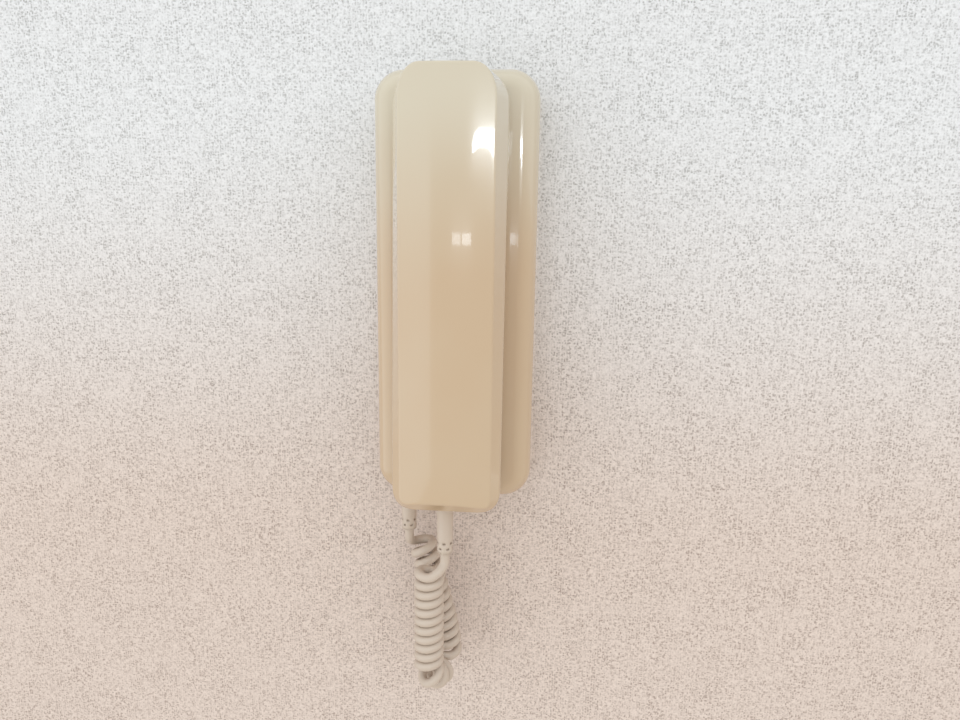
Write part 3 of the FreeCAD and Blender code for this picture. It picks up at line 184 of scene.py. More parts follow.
def angle_property(name, description, degrees):
    return FloatProperty(
        name=name, description=description, default=math.radians(degrees), unit="ROTATION"
    )


class TelephoneHandsetSizes(PropertyGroup):
    length: length_property("Length", "Height of the handset on the wall", 0.2004)
    middle: length_property("Middle", "Height of the handset's middle over the wall holes' middle", -0.0006)
    root_out: length_property("Root out", "How far the handset's back stands out from the wall", 0.0304)
    depth: length_property("Depth", "From the handset's back to the edge of its face", 0.0276)
    back_width: length_property("Back width", "Width across the back", 0.0480)
    width: length_property("Width", "Width across the shoulders", 0.0516)
    face_width: length_property("Face width", "Width across the face", 0.0424)
    crown: length_property("Crown", "How far the face swells past its edges", 0.0015)
    high_corner: length_property("High corner", "Radius of the two upper corners", 0.0145)
    low_corner: length_property("Low corner", "Radius of the two lower corners", 0.012)
    low_shoulder: length_property("Low shoulder", "From the back to the shoulders at the low end", 0.0236)
    high_shoulder: length_property("High shoulder", "From the back to the shoulders at the high end", 0.0126)
    shoulder_round: length_property("Shoulder round", "Length of the rounding beside the shoulders", 0.0013)
    face_round: length_property("Face round", "Length of the rounding round the face", 0.0007)
    wall: length_property("Wall", "Thickness of the moulded shell", 0.002)


class TelephoneCordSizes(PropertyGroup):
    wire: length_property("Wire", "Thickness of the cord's round sheath", 0.0047)
    coil_radius: length_property("Coil radius", "From the coil's axis to the sheath's centre", 0.0054)
    front_lay: length_property("Front lay", "Distance between turns under the handset", 0.00498)
    back_lay: length_property("Back lay", "Distance between the last turns before the base", 0.0065)
    lead: length_property("Lead", "Straight length of sheath below each strain relief", 0.0044)
    rings_per_turn: IntProperty(
        name="Rings per turn", description="Smoothness along the cord", default=40, min=12
    )
    ring_points: IntProperty(
        name="Points per ring", description="Smoothness round the cord", default=18, min=8
    )


class TelephoneColours(PropertyGroup):
    # The two shell creams carry painted shade as well as yellowing: the lower one is darker and warmer partly
    # to stand in for dimmer, warmer light lower down.
    shell: colour_property("Shell", "Cream of the moulded shells at their upper end", (0.605, 0.535, 0.410))
    shell_aged_and_shaded: colour_property("Aged shell", "Cream that has yellowed, further down", (0.557, 0.407, 0.266))
    tray: colour_property("Tray", "Unpolished plastic behind the shells", (0.600, 0.520, 0.410))
    cord: colour_property("Cord", "Sheath of the coiled cord", (0.620, 0.512, 0.422))
    wall: colour_property("Wall", "Paper on the wall at the phone's upper end", (0.830, 0.831, 0.846))
    # The low wall colours carry painted shade: the paper and its hollows turn darker and warmer below the
    # phone.
    wall_low_with_painted_shade: colour_property("Low wall", "Paper on the wall below the phone", (0.752, 0.634, 0.566))
    wall_speck: colour_property(
        "Wall speck", "Hollows in the paper at the phone's upper end", (0.360, 0.355, 0.350)
    )
    wall_speck_low_with_painted_shade: colour_property(
        "Low wall speck", "Hollows in the paper below the phone", (0.400, 0.310, 0.265)
    )
    room: colour_property("Room", "Walls and floor of the room", (0.580, 0.545, 0.495))
    window: colour_property("Window side", "Bright side of the room", (0.960, 1.0, 1.0))
    ceiling: colour_property("Ceiling", "Upper part of the room", (0.860, 0.900, 0.920))


class TelephoneStage(PropertyGroup):
    lens: FloatProperty(name="Lens", description="Focal length in millimetres", default=27.04)
    camera: FloatVectorProperty(
        name="Camera", description="Where the camera stands", default=(0.0440, -0.3723, 0.0367), subtype="XYZ"
    )
    pitch: angle_property("Pitch", "Camera tilt down", 11.27)
    yaw: angle_property("Yaw", "Camera turn to the left", 5.13)
    roll: angle_property("Roll", "Camera roll", 0.83)


def settings(name):
    """One of the add-on's groups of settings on the current scene."""
    return getattr(bpy.context.scene, name)


# Mesh helpers

def unit(vectors):
    return vectors / np.linalg.norm(vectors, axis=-1, keepdims=True)


def mesh_object(name, points, faces, smooth=True):
    """A new object at the origin with the given points and faces."""
    mesh = bpy.data.meshes.new(name)
    mesh.from_pydata(points.tolist(), [], faces.tolist())
    mesh.polygons.foreach_set("use_smooth", np.full(len(mesh.polygons), smooth))
    mesh.update()
    piece = bpy.data.objects.new(name, mesh)
    bpy.context.scene.collection.objects.link(piece)
    return piece


def grid_faces(rows, columns, closed_columns=True):
    """Four-cornered faces between neighbouring points of a grid whose rows may close on themselves."""
    wide = columns if closed_columns else columns - 1
    row, column = np.meshgrid(np.arange(rows - 1), np.arange(wide), indexing="ij")
    ahead = (column + 1) % columns
    here = row * columns
    above = (row + 1) * columns
    corners = [here + column, here + ahead, above + ahead, above + column]
    return np.stack([corner.ravel() for corner in corners], axis=1)


def tidy_mesh(piece, gap=JOIN_GAP):
    """Merges points that coincide, drops faces without area and turns every face outwards."""
    cleaned = bmesh.new()
    cleaned.from_mesh(piece.data)
    bmesh.ops.remove_doubles(cleaned, verts=cleaned.verts, dist=gap)
    bmesh.ops.dissolve_degenerate(cleaned, edges=cleaned.edges, dist=gap)
    bmesh.ops.recalc_face_normals(cleaned, faces=cleaned.faces)
    cleaned.to_mesh(piece.data)
    cleaned.free()


def keep_flats_flat(mesh, lean_degrees):
    """Sets the corner normals so that a flat face square to an axis shades flat up to its roundings.

    A corner at a point of such a face takes that face's normal where its own face leans less than the given
    angle from it. The other corners keep their smooth normals.
    """
    points = np.empty(len(mesh.loops), int)
    mesh.loops.foreach_get("vertex_index", points)
    sides = np.empty(len(mesh.polygons), int)
    mesh.polygons.foreach_get("loop_total", sides)
    owner = np.repeat(np.arange(len(mesh.polygons)), sides)
    faces = np.empty(3 * len(mesh.polygons))
    mesh.polygons.foreach_get("normal", faces)
    corners = np.empty(3 * len(mesh.loops))
    mesh.corner_normals.foreach_get("vector", corners)
    corners = corners.reshape(-1, 3)
    for way in np.concatenate([np.eye(3), -np.eye(3)]):
        facing = faces.reshape(-1, 3) @ way
        touched = np.zeros(len(mesh.vertices), bool)
        touched[points[(facing > FLAT_COSINE)[owner]]] = True
        leans_little = facing[owner] > math.cos(math.radians(lean_degrees))
        corners[touched[points] & leans_little] = way
    mesh.normals_split_custom_set(corners.tolist())


def merged_copy(name, node):
    """A copy of a CAD node with its triangles joined, smooth except along its sharp edges."""
    source = frame["nodes"][node]
    piece = bpy.data.objects.new(name, source.data.copy())
    bpy.context.scene.collection.objects.link(piece)
    joined = bmesh.new()
    joined.from_mesh(piece.data)
    bmesh.ops.remove_doubles(joined, verts=joined.verts, dist=COPY_JOIN_GAP)
    joined.to_mesh(piece.data)
    joined.free()
    piece.data.polygons.foreach_set("use_smooth", np.ones(len(piece.data.polygons), bool))
    piece.data.set_sharp_from_angle(angle=math.radians(COPY_SHARP_DEGREES))
    keep_flats_flat(piece.data, COPY_SHARP_DEGREES)
    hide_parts(node)
    return piece


def finish_piece(piece, material, body):
    """Gives a piece its material, and lets it ride on its body."""
    piece.data.materials.clear()
    piece.data.materials.append(material)
    if body:
        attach(piece, body)
    return piece


# Materials

def group_tree(name, inputs, outputs):
    """A new shader node group with named sockets, and its input and output nodes."""
    tree = bpy.data.node_groups.new(name, "ShaderNodeTree")
    for label, kind, default in inputs:
        socket = tree.interface.new_socket(label, in_out="INPUT", socket_type=kind)
        socket.default_value = default
    for label, kind in outputs:
        tree.interface.new_socket(label, in_out="OUTPUT", socket_type=kind)
    return tree, tree.nodes.new("NodeGroupInput"), tree.nodes.new("NodeGroupOutput")


def feed(tree, value, socket):
    """Gives a socket its value: a link from another socket, or else a plain number or colour."""
    if isinstance(value, bpy.types.NodeSocket):
        tree.links.new(value, socket)
    else:
        socket.default_value = value


def stretched_place(tree, stretch):
    """The piece's own coordinates, stretched along its axes."""
    place = tree.nodes.new("ShaderNodeTexCoord")
    mapping = tree.nodes.new("ShaderNodeMapping")
    mapping.inputs["Scale"].default_value = stretch
    tree.links.new(place.outputs["Object"], mapping.inputs["Vector"])
    return mapping.outputs["Vector"]


def noise(tree, scale, detail, stretch=(1.0, 1.0, 1.0), roughness=0.5):
    """Noise over the piece's own coordinates, stretched along its axes."""
    texture = tree.nodes.new("ShaderNodeTexNoise")
    texture.inputs["Detail"].default_value = detail
    texture.inputs["Roughness"].default_value = roughness
    tree.links.new(stretched_place(tree, stretch), texture.inputs["Vector"])
    feed(tree, scale, texture.inputs["Scale"])
    return texture.outputs["Fac"]


def maths(tree, operation, *values):
    """One arithmetic step on sockets or plain numbers."""
    node = tree.nodes.new("ShaderNodeMath")
    node.operation = operation
    for value, socket in zip(values, node.inputs):
        feed(tree, value, socket)
    return node.outputs["Value"]


def place_on(tree, axis):
    """One of the piece's own coordinates, in metres."""
    place = tree.nodes.new("ShaderNodeTexCoord")
    parts = tree.nodes.new("ShaderNodeSeparateXYZ")
    tree.links.new(place.outputs["Object"], parts.inputs["Vector"])
    return parts.outputs[axis]


def spread(tree, value, low, high, to_low=0.0, to_high=1.0, ease="LINEAR"):
    """A value mapped from one range to another and kept inside it."""
    node = tree.nodes.new("ShaderNodeMapRange")
    node.interpolation_type = ease
    feed(tree, value, node.inputs["Value"])
    feed(tree, low, node.inputs["From Min"])
    feed(tree, high, node.inputs["From Max"])
    node.inputs["To Min"].default_value = to_low
    node.inputs["To Max"].default_value = to_high
    return node.outputs["Result"]


def blend_colours(tree, share, first, second):
    """Two colours mixed by a share from 0 to 1."""
    node = tree.nodes.new("ShaderNodeMix")
    node.data_type = "RGBA"
    tree.links.new(share, node.inputs["Factor"])
    # the mix node's colour sockets share their names with its others, so they are picked by place
    feed(tree, first, node.inputs[6])
    feed(tree, second, node.inputs[7])
    return node.outputs[2]


def bump(tree, height, distance, strength):
    """A normal from a height in metres times a distance."""
    node = tree.nodes.new("ShaderNodeBump")
    node.inputs["Distance"].default_value = distance
    feed(tree, strength, node.inputs["Strength"])
    feed(tree, height, node.inputs["Height"])
    return node.outputs["Normal"]


def aged_plastic_group():
    """Moulded plastic: slow yellowing (partly painted shade in the shells), fine specks of dust, a faint
    ripple and uneven gloss.
    """
    if "aged_plastic" in bpy.data.node_groups:
        return bpy.data.node_groups["aged_plastic"]
    tree, given, made = group_tree(
        "aged_plastic",
        [
            ("Colour", "NodeSocketColor", (0.8, 0.8, 0.8, 1.0)),
            ("Aged Colour", "NodeSocketColor", (0.7, 0.7, 0.6, 1.0)),
            ("Patch Scale", "NodeSocketFloat", 14.0),
            ("Grain Scale", "NodeSocketFloat", 900.0),
            ("Grain Strength", "NodeSocketFloat", 0.1),
            ("Roughness", "NodeSocketFloat", 0.2),
            ("Roughness Spread", "NodeSocketFloat", 0.05),
            ("Pale Height", "NodeSocketFloat", 0.5),
            ("Aged Height", "NodeSocketFloat", 0.4),
        ],
        [("Colour", "NodeSocketColor"), ("Roughness", "NodeSocketFloat"), ("Normal", "NodeSocketVector")],
    )
    blotches = noise(tree, given.outputs["Patch Scale"], detail=3.0)
    patches = spread(tree, blotches, low=0.3, high=0.7, to_low=-0.12, to_high=0.12)
    pale, aged = given.outputs["Pale Height"], given.outputs["Aged Height"]
    # Paler above one height and darker and yellower below another: yellowing, and in the shells painted shade
    # as well.
    yellowing_and_shade_fall = spread(tree, place_on(tree, "Z"), pale, aged, ease="SMOOTHSTEP")
    age = maths(tree, "ADD", yellowing_and_shade_fall, patches)
    yellowed = blend_colours(tree, age, given.outputs["Colour"], given.outputs["Aged Colour"])
    dust = spread(tree, noise(tree, scale=1600.0, detail=2.0), low=0.70, high=0.80, to_high=0.12)
    dust_colour = (0.30, 0.25, 0.20, 1.0)
    smears = spread(tree, noise(tree, scale=45.0, detail=4.0), low=0.3, high=0.7)
    gloss = maths(tree, "MULTIPLY_ADD", smears, given.outputs["Roughness Spread"], given.outputs["Roughness"])
    grain = noise(tree, given.outputs["Grain Scale"], detail=2.0)
    ripple = bump(tree, grain, distance=0.0001, strength=given.outputs["Grain Strength"])
    tree.links.new(blend_colours(tree, dust, yellowed, dust_colour), made.inputs["Colour"])
    tree.links.new(gloss, made.inputs["Roughness"])
    tree.links.new(ripple, made.inputs["Normal"])
    return tree


def worked_metal_group():
    """Metal with small stains and fine lines drawn along the piece's x axis."""
    if "worked_metal" in bpy.data.node_groups:
        return bpy.data.node_groups["worked_metal"]
    tree, given, made = group_tree(
        "worked_metal",
        [
            ("Colour", "NodeSocketColor", (0.6, 0.6, 0.6, 1.0)),
            ("Stain Colour", "NodeSocketColor", (0.4, 0.38, 0.35, 1.0)),
            ("Roughness", "NodeSocketFloat", 0.3),
            ("Line Strength", "NodeSocketFloat", 0.3),
        ],
        [("Colour", "NodeSocketColor"), ("Roughness", "NodeSocketFloat"), ("Normal", "NodeSocketVector")],
    )
    stains = spread(tree, noise(tree, scale=90.0, detail=4.0), low=0.45, high=0.75, to_high=0.7)
    lines = noise(tree, scale=260.0, detail=3.0, stretch=(1.0, 9.0, 9.0))
    line_roughness = 0.2
    uneven = maths(tree, "MULTIPLY_ADD", lines, line_roughness, given.outputs["Roughness"])
    stained = blend_colours(tree, stains, given.outputs["Colour"], given.outputs["Stain Colour"])
    drawn = bump(tree, lines, distance=0.0001, strength=given.outputs["Line Strength"])
    tree.links.new(stained, made.inputs["Colour"])
    tree.links.new(uneven, made.inputs["Roughness"])
    tree.links.new(drawn, made.inputs["Normal"])
    return tree


def shader_material(name):
    """A new material with its Principled shader."""
    material = bpy.data.materials.new(name)
    material.use_nodes = True
    return material, material.node_tree, material.node_tree.nodes["Principled BSDF"]


def group_material(name, group, values, constants=None):
    """A material whose colour, roughness and normal come from a group with its own values."""
    if name in bpy.data.materials:
        return bpy.data.materials[name]
    material, tree, shader = shader_material(name)
    node = tree.nodes.new("ShaderNodeGroup")
    node.node_tree = group
    for label, value in values.items():
        node.inputs[label].default_value = value
    for label, value in (constants or {}).items():
        shader.inputs[label].default_value = value
    tree.links.new(node.outputs["Colour"], shader.inputs["Base Color"])
    tree.links.new(node.outputs["Roughness"], shader.inputs["Roughness"])
    tree.links.new(node.outputs["Normal"], shader.inputs["Normal"])
    return material


def plastic(
    name, colour, aged, roughness, grain_strength=0.1, grain_scale=900.0, yellowing_and_shade_fall=(0.3, -0.3), constants=None
):
    """Moulded plastic that is paler above the first height of its fall and yellower below the second. In the
    shells that darkening is partly painted shade.
    """
    return group_material(
        name, aged_plastic_group(),
        {
            "Colour": (*colour, 1.0), "Aged Colour": (*aged, 1.0), "Roughness": roughness,
            "Grain Strength": grain_strength, "Grain Scale": grain_scale,
            "Pale Height": yellowing_and_shade_fall[0], "Aged Height": yellowing_and_shade_fall[1],
        },
        constants,
    )


def metal(name, colour, stain, roughness, lines=0.3):
    return group_material(
        name, worked_metal_group(),
        {
            "Colour": (*colour, 1.0), "Stain Colour": (*stain, 1.0), "Roughness": roughness,
            "Line Strength": lines,
        },
        {"Metallic": 1.0},
    )


def shell_plastic():
    """The glossy cream of the two visible shells, darker and yellower further down: partly yellowing, partly
    painted shade.
    """
    colours = settings("telephone_colours")
    return plastic(
        "glossy_shell", colours.shell, colours.shell_aged_and_shaded, roughness=0.11, grain_strength=0.02,
        grain_scale=260.0, yellowing_and_shade_fall=(0.105, -0.005), constants={"Coat Weight": 0.8, "Coat Roughness": 0.032},
    )


def tray_plastic():
    colours = settings("telephone_colours")
    return plastic("tray_moulding", colours.tray, colours.shell_aged_and_shaded, 0.45, grain_strength=0.3)


def cord_plastic():
    """The softer, whiter sheath of the cord and its strain reliefs."""
    colours = settings("telephone_colours")
    aged = tuple(CORD_AGED_SHARE * value for value in colours.cord)
    return plastic("cord_sheath", colours.cord, aged, 0.38, grain_strength=0.15, grain_scale=1400.0)


def dark_plastic():
    return plastic("dark_moulding", (0.012, 0.012, 0.013), (0.03, 0.028, 0.026), 0.42, grain_strength=0.4)


def soft_rubber():
    return plastic("rubber_moulding", (0.016, 0.016, 0.016), (0.03, 0.03, 0.03), 0.7, grain_strength=0.5)


def board_laminate():
    return plastic("board_laminate", (0.22, 0.115, 0.035), (0.17, 0.08, 0.025), 0.35, grain_strength=0.3)


def steel():
    return metal("zinc_steel", (0.46, 0.46, 0.47), (0.30, 0.28, 0.25), 0.28)


def brass():
    return metal("plain_brass", (0.62, 0.42, 0.16), (0.36, 0.22, 0.08), 0.25)


def capsule_metal():
    return metal("capsule_can", (0.60, 0.60, 0.61), (0.42, 0.41, 0.40), 0.32)


def painted_speaker():
    return plastic("painted_speaker", (0.045, 0.045, 0.048), (0.07, 0.065, 0.06), 0.3, grain_strength=0.3)


def speaker_cloth_weave():
    """Black cloth: two crossed sets of threads give its colour and its height."""
    material, tree, shader = shader_material("speaker_cloth_weave")
    place = tree.nodes.new("ShaderNodeTexCoord")
    threads = []
    for direction in ("X", "Z"):
        wave = tree.nodes.new("ShaderNodeTexWave")
        wave.bands_direction = direction
        wave.inputs["Scale"].default_value = 320.0
        tree.links.new(place.outputs["Object"], wave.inputs["Vector"])
        threads.append(wave.outputs["Fac"])
    crossed = maths(tree, "MULTIPLY", *threads)
    between_threads = (0.006, 0.006, 0.006, 1.0)
    on_threads = (0.04, 0.04, 0.04, 1.0)
    tree.links.new(blend_colours(tree, crossed, between_threads, on_threads), shader.inputs["Base Color"])
    tree.links.new(bump(tree, crossed, distance=0.0002, strength=0.6), shader.inputs["Normal"])
    shader.inputs["Roughness"].default_value = 0.85
    return material


SLOT_FINISH = {
    "shell_plastic": shell_plastic,
    "tray_plastic": tray_plastic,
    "cord_plastic": cord_plastic,
    "steel": steel,
    "brass": brass,
    "board": board_laminate,
    "dark_plastic": dark_plastic,
    "speaker_metal": painted_speaker,
    "cloth": speaker_cloth_weave,
    "soft_rubber": soft_rubber,
    "capsule_metal": capsule_metal,
}


def dress_node(node, material):
    """Puts a material in every slot of a CAD node that stays."""
    for slot in frame["nodes"][node].material_slots:
        slot.material = material


# Handset

def corner_reach(turn, across, along, fullness):
    """The distance from a corner's centre to its outline in each direction.

    The corner is a superellipse with two half axes. With n for its fullness, the distance is
    (|sin / across|^n + |cos / along|^n)^(-1/n): a quarter circle for n = 2, and squarer for more.
    """
    return ((np.sin(turn) / across) ** fullness + (np.cos(turn) / along) ** fullness) ** (-1 / fullness)


def outline(sizes, inset, half, lift, fullness):
    """One ring round the handset: straight ends and sides joined by superelliptic corners.

    The corners keep the centres that they have in the widest outline, and a narrower or lifted ring reaches
    less far from them. The third row says how much each point belongs to the low end.
    """
    low_fullness, high_fullness = fullness
    low_round = sizes.low_corner - inset
    high_round = sizes.high_corner - inset
    low_centre = sizes.width / 2 - inset - low_round
    high_centre = sizes.width / 2 - inset - high_round
    low = sizes.middle - sizes.length / 2 + inset
    high = sizes.middle + sizes.length / 2 - inset
    turn = np.linspace(0.0, np.pi / 2, CORNER_POINTS)
    end = np.linspace(0.0, 1.0, END_POINTS)[:-1]
    side = np.linspace(0.0, 1.0, SIDE_POINTS)[1:-1]
    low_reach = corner_reach(turn, half - low_centre, low_round - lift, low_fullness)
    high_reach = corner_reach(turn, half - high_centre, high_round, high_fullness)[::-1]
    x = np.concatenate([
        low_centre * end, low_centre + low_reach * np.sin(turn), np.full(len(side), half),
        high_centre + high_reach * np.cos(turn), high_centre * end[::-1],
    ])
    z = np.concatenate([
        np.full(len(end), low + lift), low + low_round - low_reach * np.cos(turn),
        low + low_round + (high - high_round - low - low_round) * side,
        high - high_round + high_reach * np.sin(turn), np.full(len(end), high),
    ])
    lowness = np.concatenate([np.ones(len(end)), np.cos(turn) ** 2, np.zeros(len(x) - len(end) - len(turn))])
    right = np.stack([x, z, lowness])
    left = right[:, -2:0:-1] * np.array([[-1.0], [1.0], [1.0]])
    return np.concatenate([right, left], axis=1)


def swell(sizes, x, half_face):
    """How far the face stands past its edges: a shallow circular arc across its width."""
    radius = (half_face ** 2 + sizes.crown ** 2) / (2 * sizes.crown)
    return np.sqrt(radius ** 2 - np.minimum(np.abs(x), half_face) ** 2) - (radius - sizes.crown)


def rounded_rows(rings, lengths, steps=7):
    """Rows through a list of rings, with each inner ring turned into a rounding.

    A rounding is a quadratic curve that starts the given length before its ring, ends as far behind it
    and has the ring as its control point.
    """
    rows = [rings[0]]
    share = np.linspace(0.0, 1.0, steps)[:, None, None]
    for before, ring, after, length in zip(rings, rings[1:], rings[2:], lengths):
        start = ring + unit(before - ring) * length
        end = ring + unit(after - ring) * length
        rows.extend((1 - share) ** 2 * start + 2 * share * (1 - share) * ring + share ** 2 * end)
    return np.array(rows)


def handset_skin(sizes, inset):
    """Rings of the handset's outer form, or of its hollow, from the seam to the middle line of the face.

    The sides widen from the back to the shoulders, whose depth changes evenly from the low end to the high
    end. From there bevels lean in to the face. The one at the low end rises as far as it comes out.
    """
    half_face = sizes.face_width / 2 - FACE_SIDE_SHARE * inset
    face_out = sizes.root_out + sizes.depth - inset
    low = sizes.middle - sizes.length / 2
    lift = face_out - (sizes.root_out + sizes.low_shoulder - LOW_END_SHARE * inset)

    def ring(x, out, z):
        return np.stack([x, -out + 0 * x, z], axis=1)

    x, z, _ = outline(sizes, inset, sizes.back_width / 2 - inset, 0.0, BACK_CORNERS)
    root = ring(x, sizes.root_out, z)
    x, z, _ = outline(sizes, inset, sizes.width / 2 - inset, 0.0, SHOULDER_CORNERS)
    slope = (sizes.high_shoulder - sizes.low_shoulder) / sizes.length
    shoulder_out = sizes.root_out + sizes.low_shoulder + slope * (z - low) - SHOULDER_SHARE * inset
    shoulder = ring(x, shoulder_out, z)
    seam = root + (shoulder - root) * (sizes.wall / (shoulder_out - sizes.root_out))[:, None]
    x, z, lowness = outline(sizes, inset, half_face, lift, FACE_CORNERS)
    z = z + lowness * swell(sizes, x, half_face)
    edge = ring(x, face_out + swell(sizes, x, half_face), z)
    spine = np.clip(z, z.min() + half_face, z.max() - half_face)
    inward = np.array(FACE_SHARES)[:, None, None]
    face = edge + inward * (ring(0 * x, face_out, spine) - edge)
    face[:, :, 1] = -(face_out + swell(sizes, face[:, :, 0], half_face))
    shoulder_round = max(sizes.shoulder_round - SHOULDER_ROUND_SHARE * inset, SHORTEST_ROUND)
    face_round = max(sizes.face_round - FACE_ROUND_SHARE * inset, SHORTEST_ROUND)
    rows = rounded_rows([seam, shoulder, edge, face[0]], [shoulder_round, face_round])
    return np.concatenate([rows, face])


def handset_front():
    """The moulded front of the handset: its outer skin and its hollow, joined round the seam."""
    sizes = settings("telephone_handset")
    outer = handset_skin(sizes, 0.0)
    hollow = handset_skin(sizes, sizes.wall)[::-1]
    rings = np.concatenate([hollow, outer])
    piece = mesh_object("handset_front", rings.reshape(-1, 3), grid_faces(rings.shape[0], rings.shape[1]))
    tidy_mesh(piece)
    piece.data.set_sharp_from_angle(angle=math.radians(SHARP_DEGREES))
    weighted = piece.modifiers.new("even_normals", "WEIGHTED_NORMAL")
    weighted.keep_sharp = True
    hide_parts("handset_front_shell")
    return finish_piece(piece, shell_plastic(), "handset")


# Cord

def route_points():
    """Points along the coil's axis, read from a smooth curve through the route's control points."""
    curve = bpy.data.curves.new("cord_route", "CURVE")
    curve.dimensions = "3D"
    spline = curve.splines.new("NURBS")
    spline.points.add(len(CORD_ROUTE) - 1)
    for point, place in zip(spline.points, CORD_ROUTE):
        point.co = (*place, 1.0)
    spline.order_u = 3
    spline.use_endpoint_u = True
    spline.resolution_u = 60
    holder = bpy.data.objects.new("cord_route", curve)
    bpy.context.scene.collection.objects.link(holder)
    line = bpy.data.meshes.new_from_object(holder)
    points = np.array([vertex.co for vertex in line.vertices], float)
    bpy.data.objects.remove(holder)
    bpy.data.curves.remove(curve)
    bpy.data.meshes.remove(line)
    if np.linalg.norm(points[0] - CORD_ROUTE[0]) > np.linalg.norm(points[-1] - CORD_ROUTE[0]):
        points = points[::-1]
    return points


def coil_line(sizes):
    """The sheath's centre line between the leads, and the direction from the coil's axis to it.

    The axis is walked in even steps. The angle grows by a full turn for each lay of axis, and the lay opens
    in a bend. A point is the axis plus the coil radius times (side cos angle + over sin angle).
    """
    raw = route_points()
    steps = np.linalg.norm(np.diff(raw, axis=0), axis=1)
    walked = np.concatenate([[0.0], np.cumsum(steps)])
    along = np.linspace(0.0, walked[-1], AXIS_STEPS)
    axis = np.stack([np.interp(along, walked, raw[:, n]) for n in range(3)], axis=1)
    ahead = unit(np.gradient(axis, along, axis=0))
    kernel = np.hanning(2 * EVEN_REACH + 1)
    kernel /= kernel.sum()
    padded = np.pad(ahead, ((EVEN_REACH, EVEN_REACH), (0, 0)), "edge")
    ahead = unit(np.stack([np.convolve(padded[:, n], kernel, "valid") for n in range(3)], axis=1))
    reach = round(BEND_REACH / (along[1] - along[0]))
    first = np.clip(np.arange(len(along)) - reach, 0, None)
    last = np.clip(np.arange(len(along)) + reach, None, len(along) - 1)
    turned = np.arccos(np.clip((ahead[first] * ahead[last]).sum(axis=1), -1.0, 1.0))
    bend = turned / (along[last] - along[first])
    share = (along / along[-1]) ** LAY_POWER
    lay = sizes.front_lay + (sizes.back_lay - sizes.front_lay) * share
    pitch = lay / (1 - BEND_ROOM * bend * sizes.coil_radius)
    rate = 2 * np.pi / pitch
    angle = np.concatenate([[0.0], np.cumsum((rate[1:] + rate[:-1]) / 2 * np.diff(along))])
    start, end = math.radians(CURL_START_DEGREES), math.radians(CURL_END_DEGREES)
    turns = round((angle[-1] - (end - start)) / (2 * math.pi))
    angle = start + angle * (end - start + 2 * math.pi * turns) / angle[-1]
    even = np.linspace(angle[0], angle[-1], turns * sizes.rings_per_turn)
    middle = np.stack([np.interp(even, angle, axis[:, n]) for n in range(3)], axis=1)
    way = unit(np.stack([np.interp(even, angle, ahead[:, n]) for n in range(3)], axis=1))
    side = unit(np.array(CURL_REFERENCE) - way * (way @ np.array(CURL_REFERENCE))[:, None])
    over = np.cross(way, side)
    radial = side * np.cos(even)[:, None] + over * np.sin(even)[:, None]
    return middle + radial * sizes.coil_radius, radial


def easing_line(start, start_way, end, end_way):
    """A smooth line that leaves start and reaches end in the given directions: a cubic with both tangents."""
    share = np.linspace(0.0, 1.0, EASE_POINTS)[:, None]
    pull = np.linalg.norm(end - start) * EASE_PULL
    return (
        (2 * share ** 3 - 3 * share ** 2 + 1) * start
        + (share ** 3 - 2 * share ** 2 + share) * pull * start_way
        + (3 * share ** 2 - 2 * share ** 3) * end
        + (share ** 3 - share ** 2) * pull * end_way
    )


def cord_line(sizes):
    """The centre line from the handset's relief to the base's, and a steady sideways direction along it."""
    coil, radial = coil_line(sizes)
    down = np.array([0.0, 0.0, -1.0])
    first = np.array(HANDSET_EXIT)
    last = np.array(BASE_EXIT)
    leave = easing_line(first + down * sizes.lead, down, coil[0], unit(coil[1] - coil[0]))
    arrive = easing_line(coil[-1], unit(coil[-1] - coil[-2]), last + down * sizes.lead, -down)
    inside = -down * sizes.lead
    line = np.concatenate([
        [first + inside, first, first + down * sizes.lead / 2], leave[:-1], coil, arrive[1:],
        [last + down * sizes.lead / 2, last, last + inside],
    ])
    before = len(leave) + 2
    after = len(arrive) + 2
    sideways = np.concatenate([
        np.repeat(radial[:1], before, axis=0), radial, np.repeat(radial[-1:], after, axis=0),
    ])
    return line, sideways


def sheath_rings(sizes, line, sideways):
    """A ring of points round each point of a centre line, square to the line.

    A ring's two directions are the sideways direction made square to the line, and the line's direction
    times that.
    """
    ahead = unit(np.gradient(line, axis=0))
    first = unit(sideways - ahead * (sideways * ahead).sum(axis=1, keepdims=True))
    second = np.cross(ahead, first)
    turn = np.linspace(0.0, 2 * np.pi, sizes.ring_points, endpoint=False)
    return (
        line[:, None, :]
        + sizes.wire / 2 * np.cos(turn)[None, :, None] * first[:, None, :]
        + sizes.wire / 2 * np.sin(turn)[None, :, None] * second[:, None, :]
    )


def cord_length_piece(name, sizes, line, rings, thinner):
    """One length of the sheath, closed at both ends.

    Each ring is its middle plus a share of the way to its points: thinner gives the shares of the last few
    rings, and a ring with almost none closes each end.
    """
    share = np.ones(len(line))
    share[len(line) - len(thinner):] = thinner
    middle = line[:, None, :]
    rings = middle + share[:, None, None] * (rings - middle)
    caps = [middle[n] + CLOSED_SHARE * (rings[n] - middle[n]) for n in (0, -1)]
    rings = np.concatenate([caps[:1], rings, caps[1:]])
    piece = mesh_object(name, rings.reshape(-1, 3), grid_faces(len(rings), sizes.ring_points))
    tidy_mesh(piece, CORD_JOIN_GAP)
    piece.data.set_sharp_from_angle(angle=math.radians(SHARP_DEGREES))
    finish_piece(piece, cord_plastic(), None)
    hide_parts("curly_cord")
    return piece


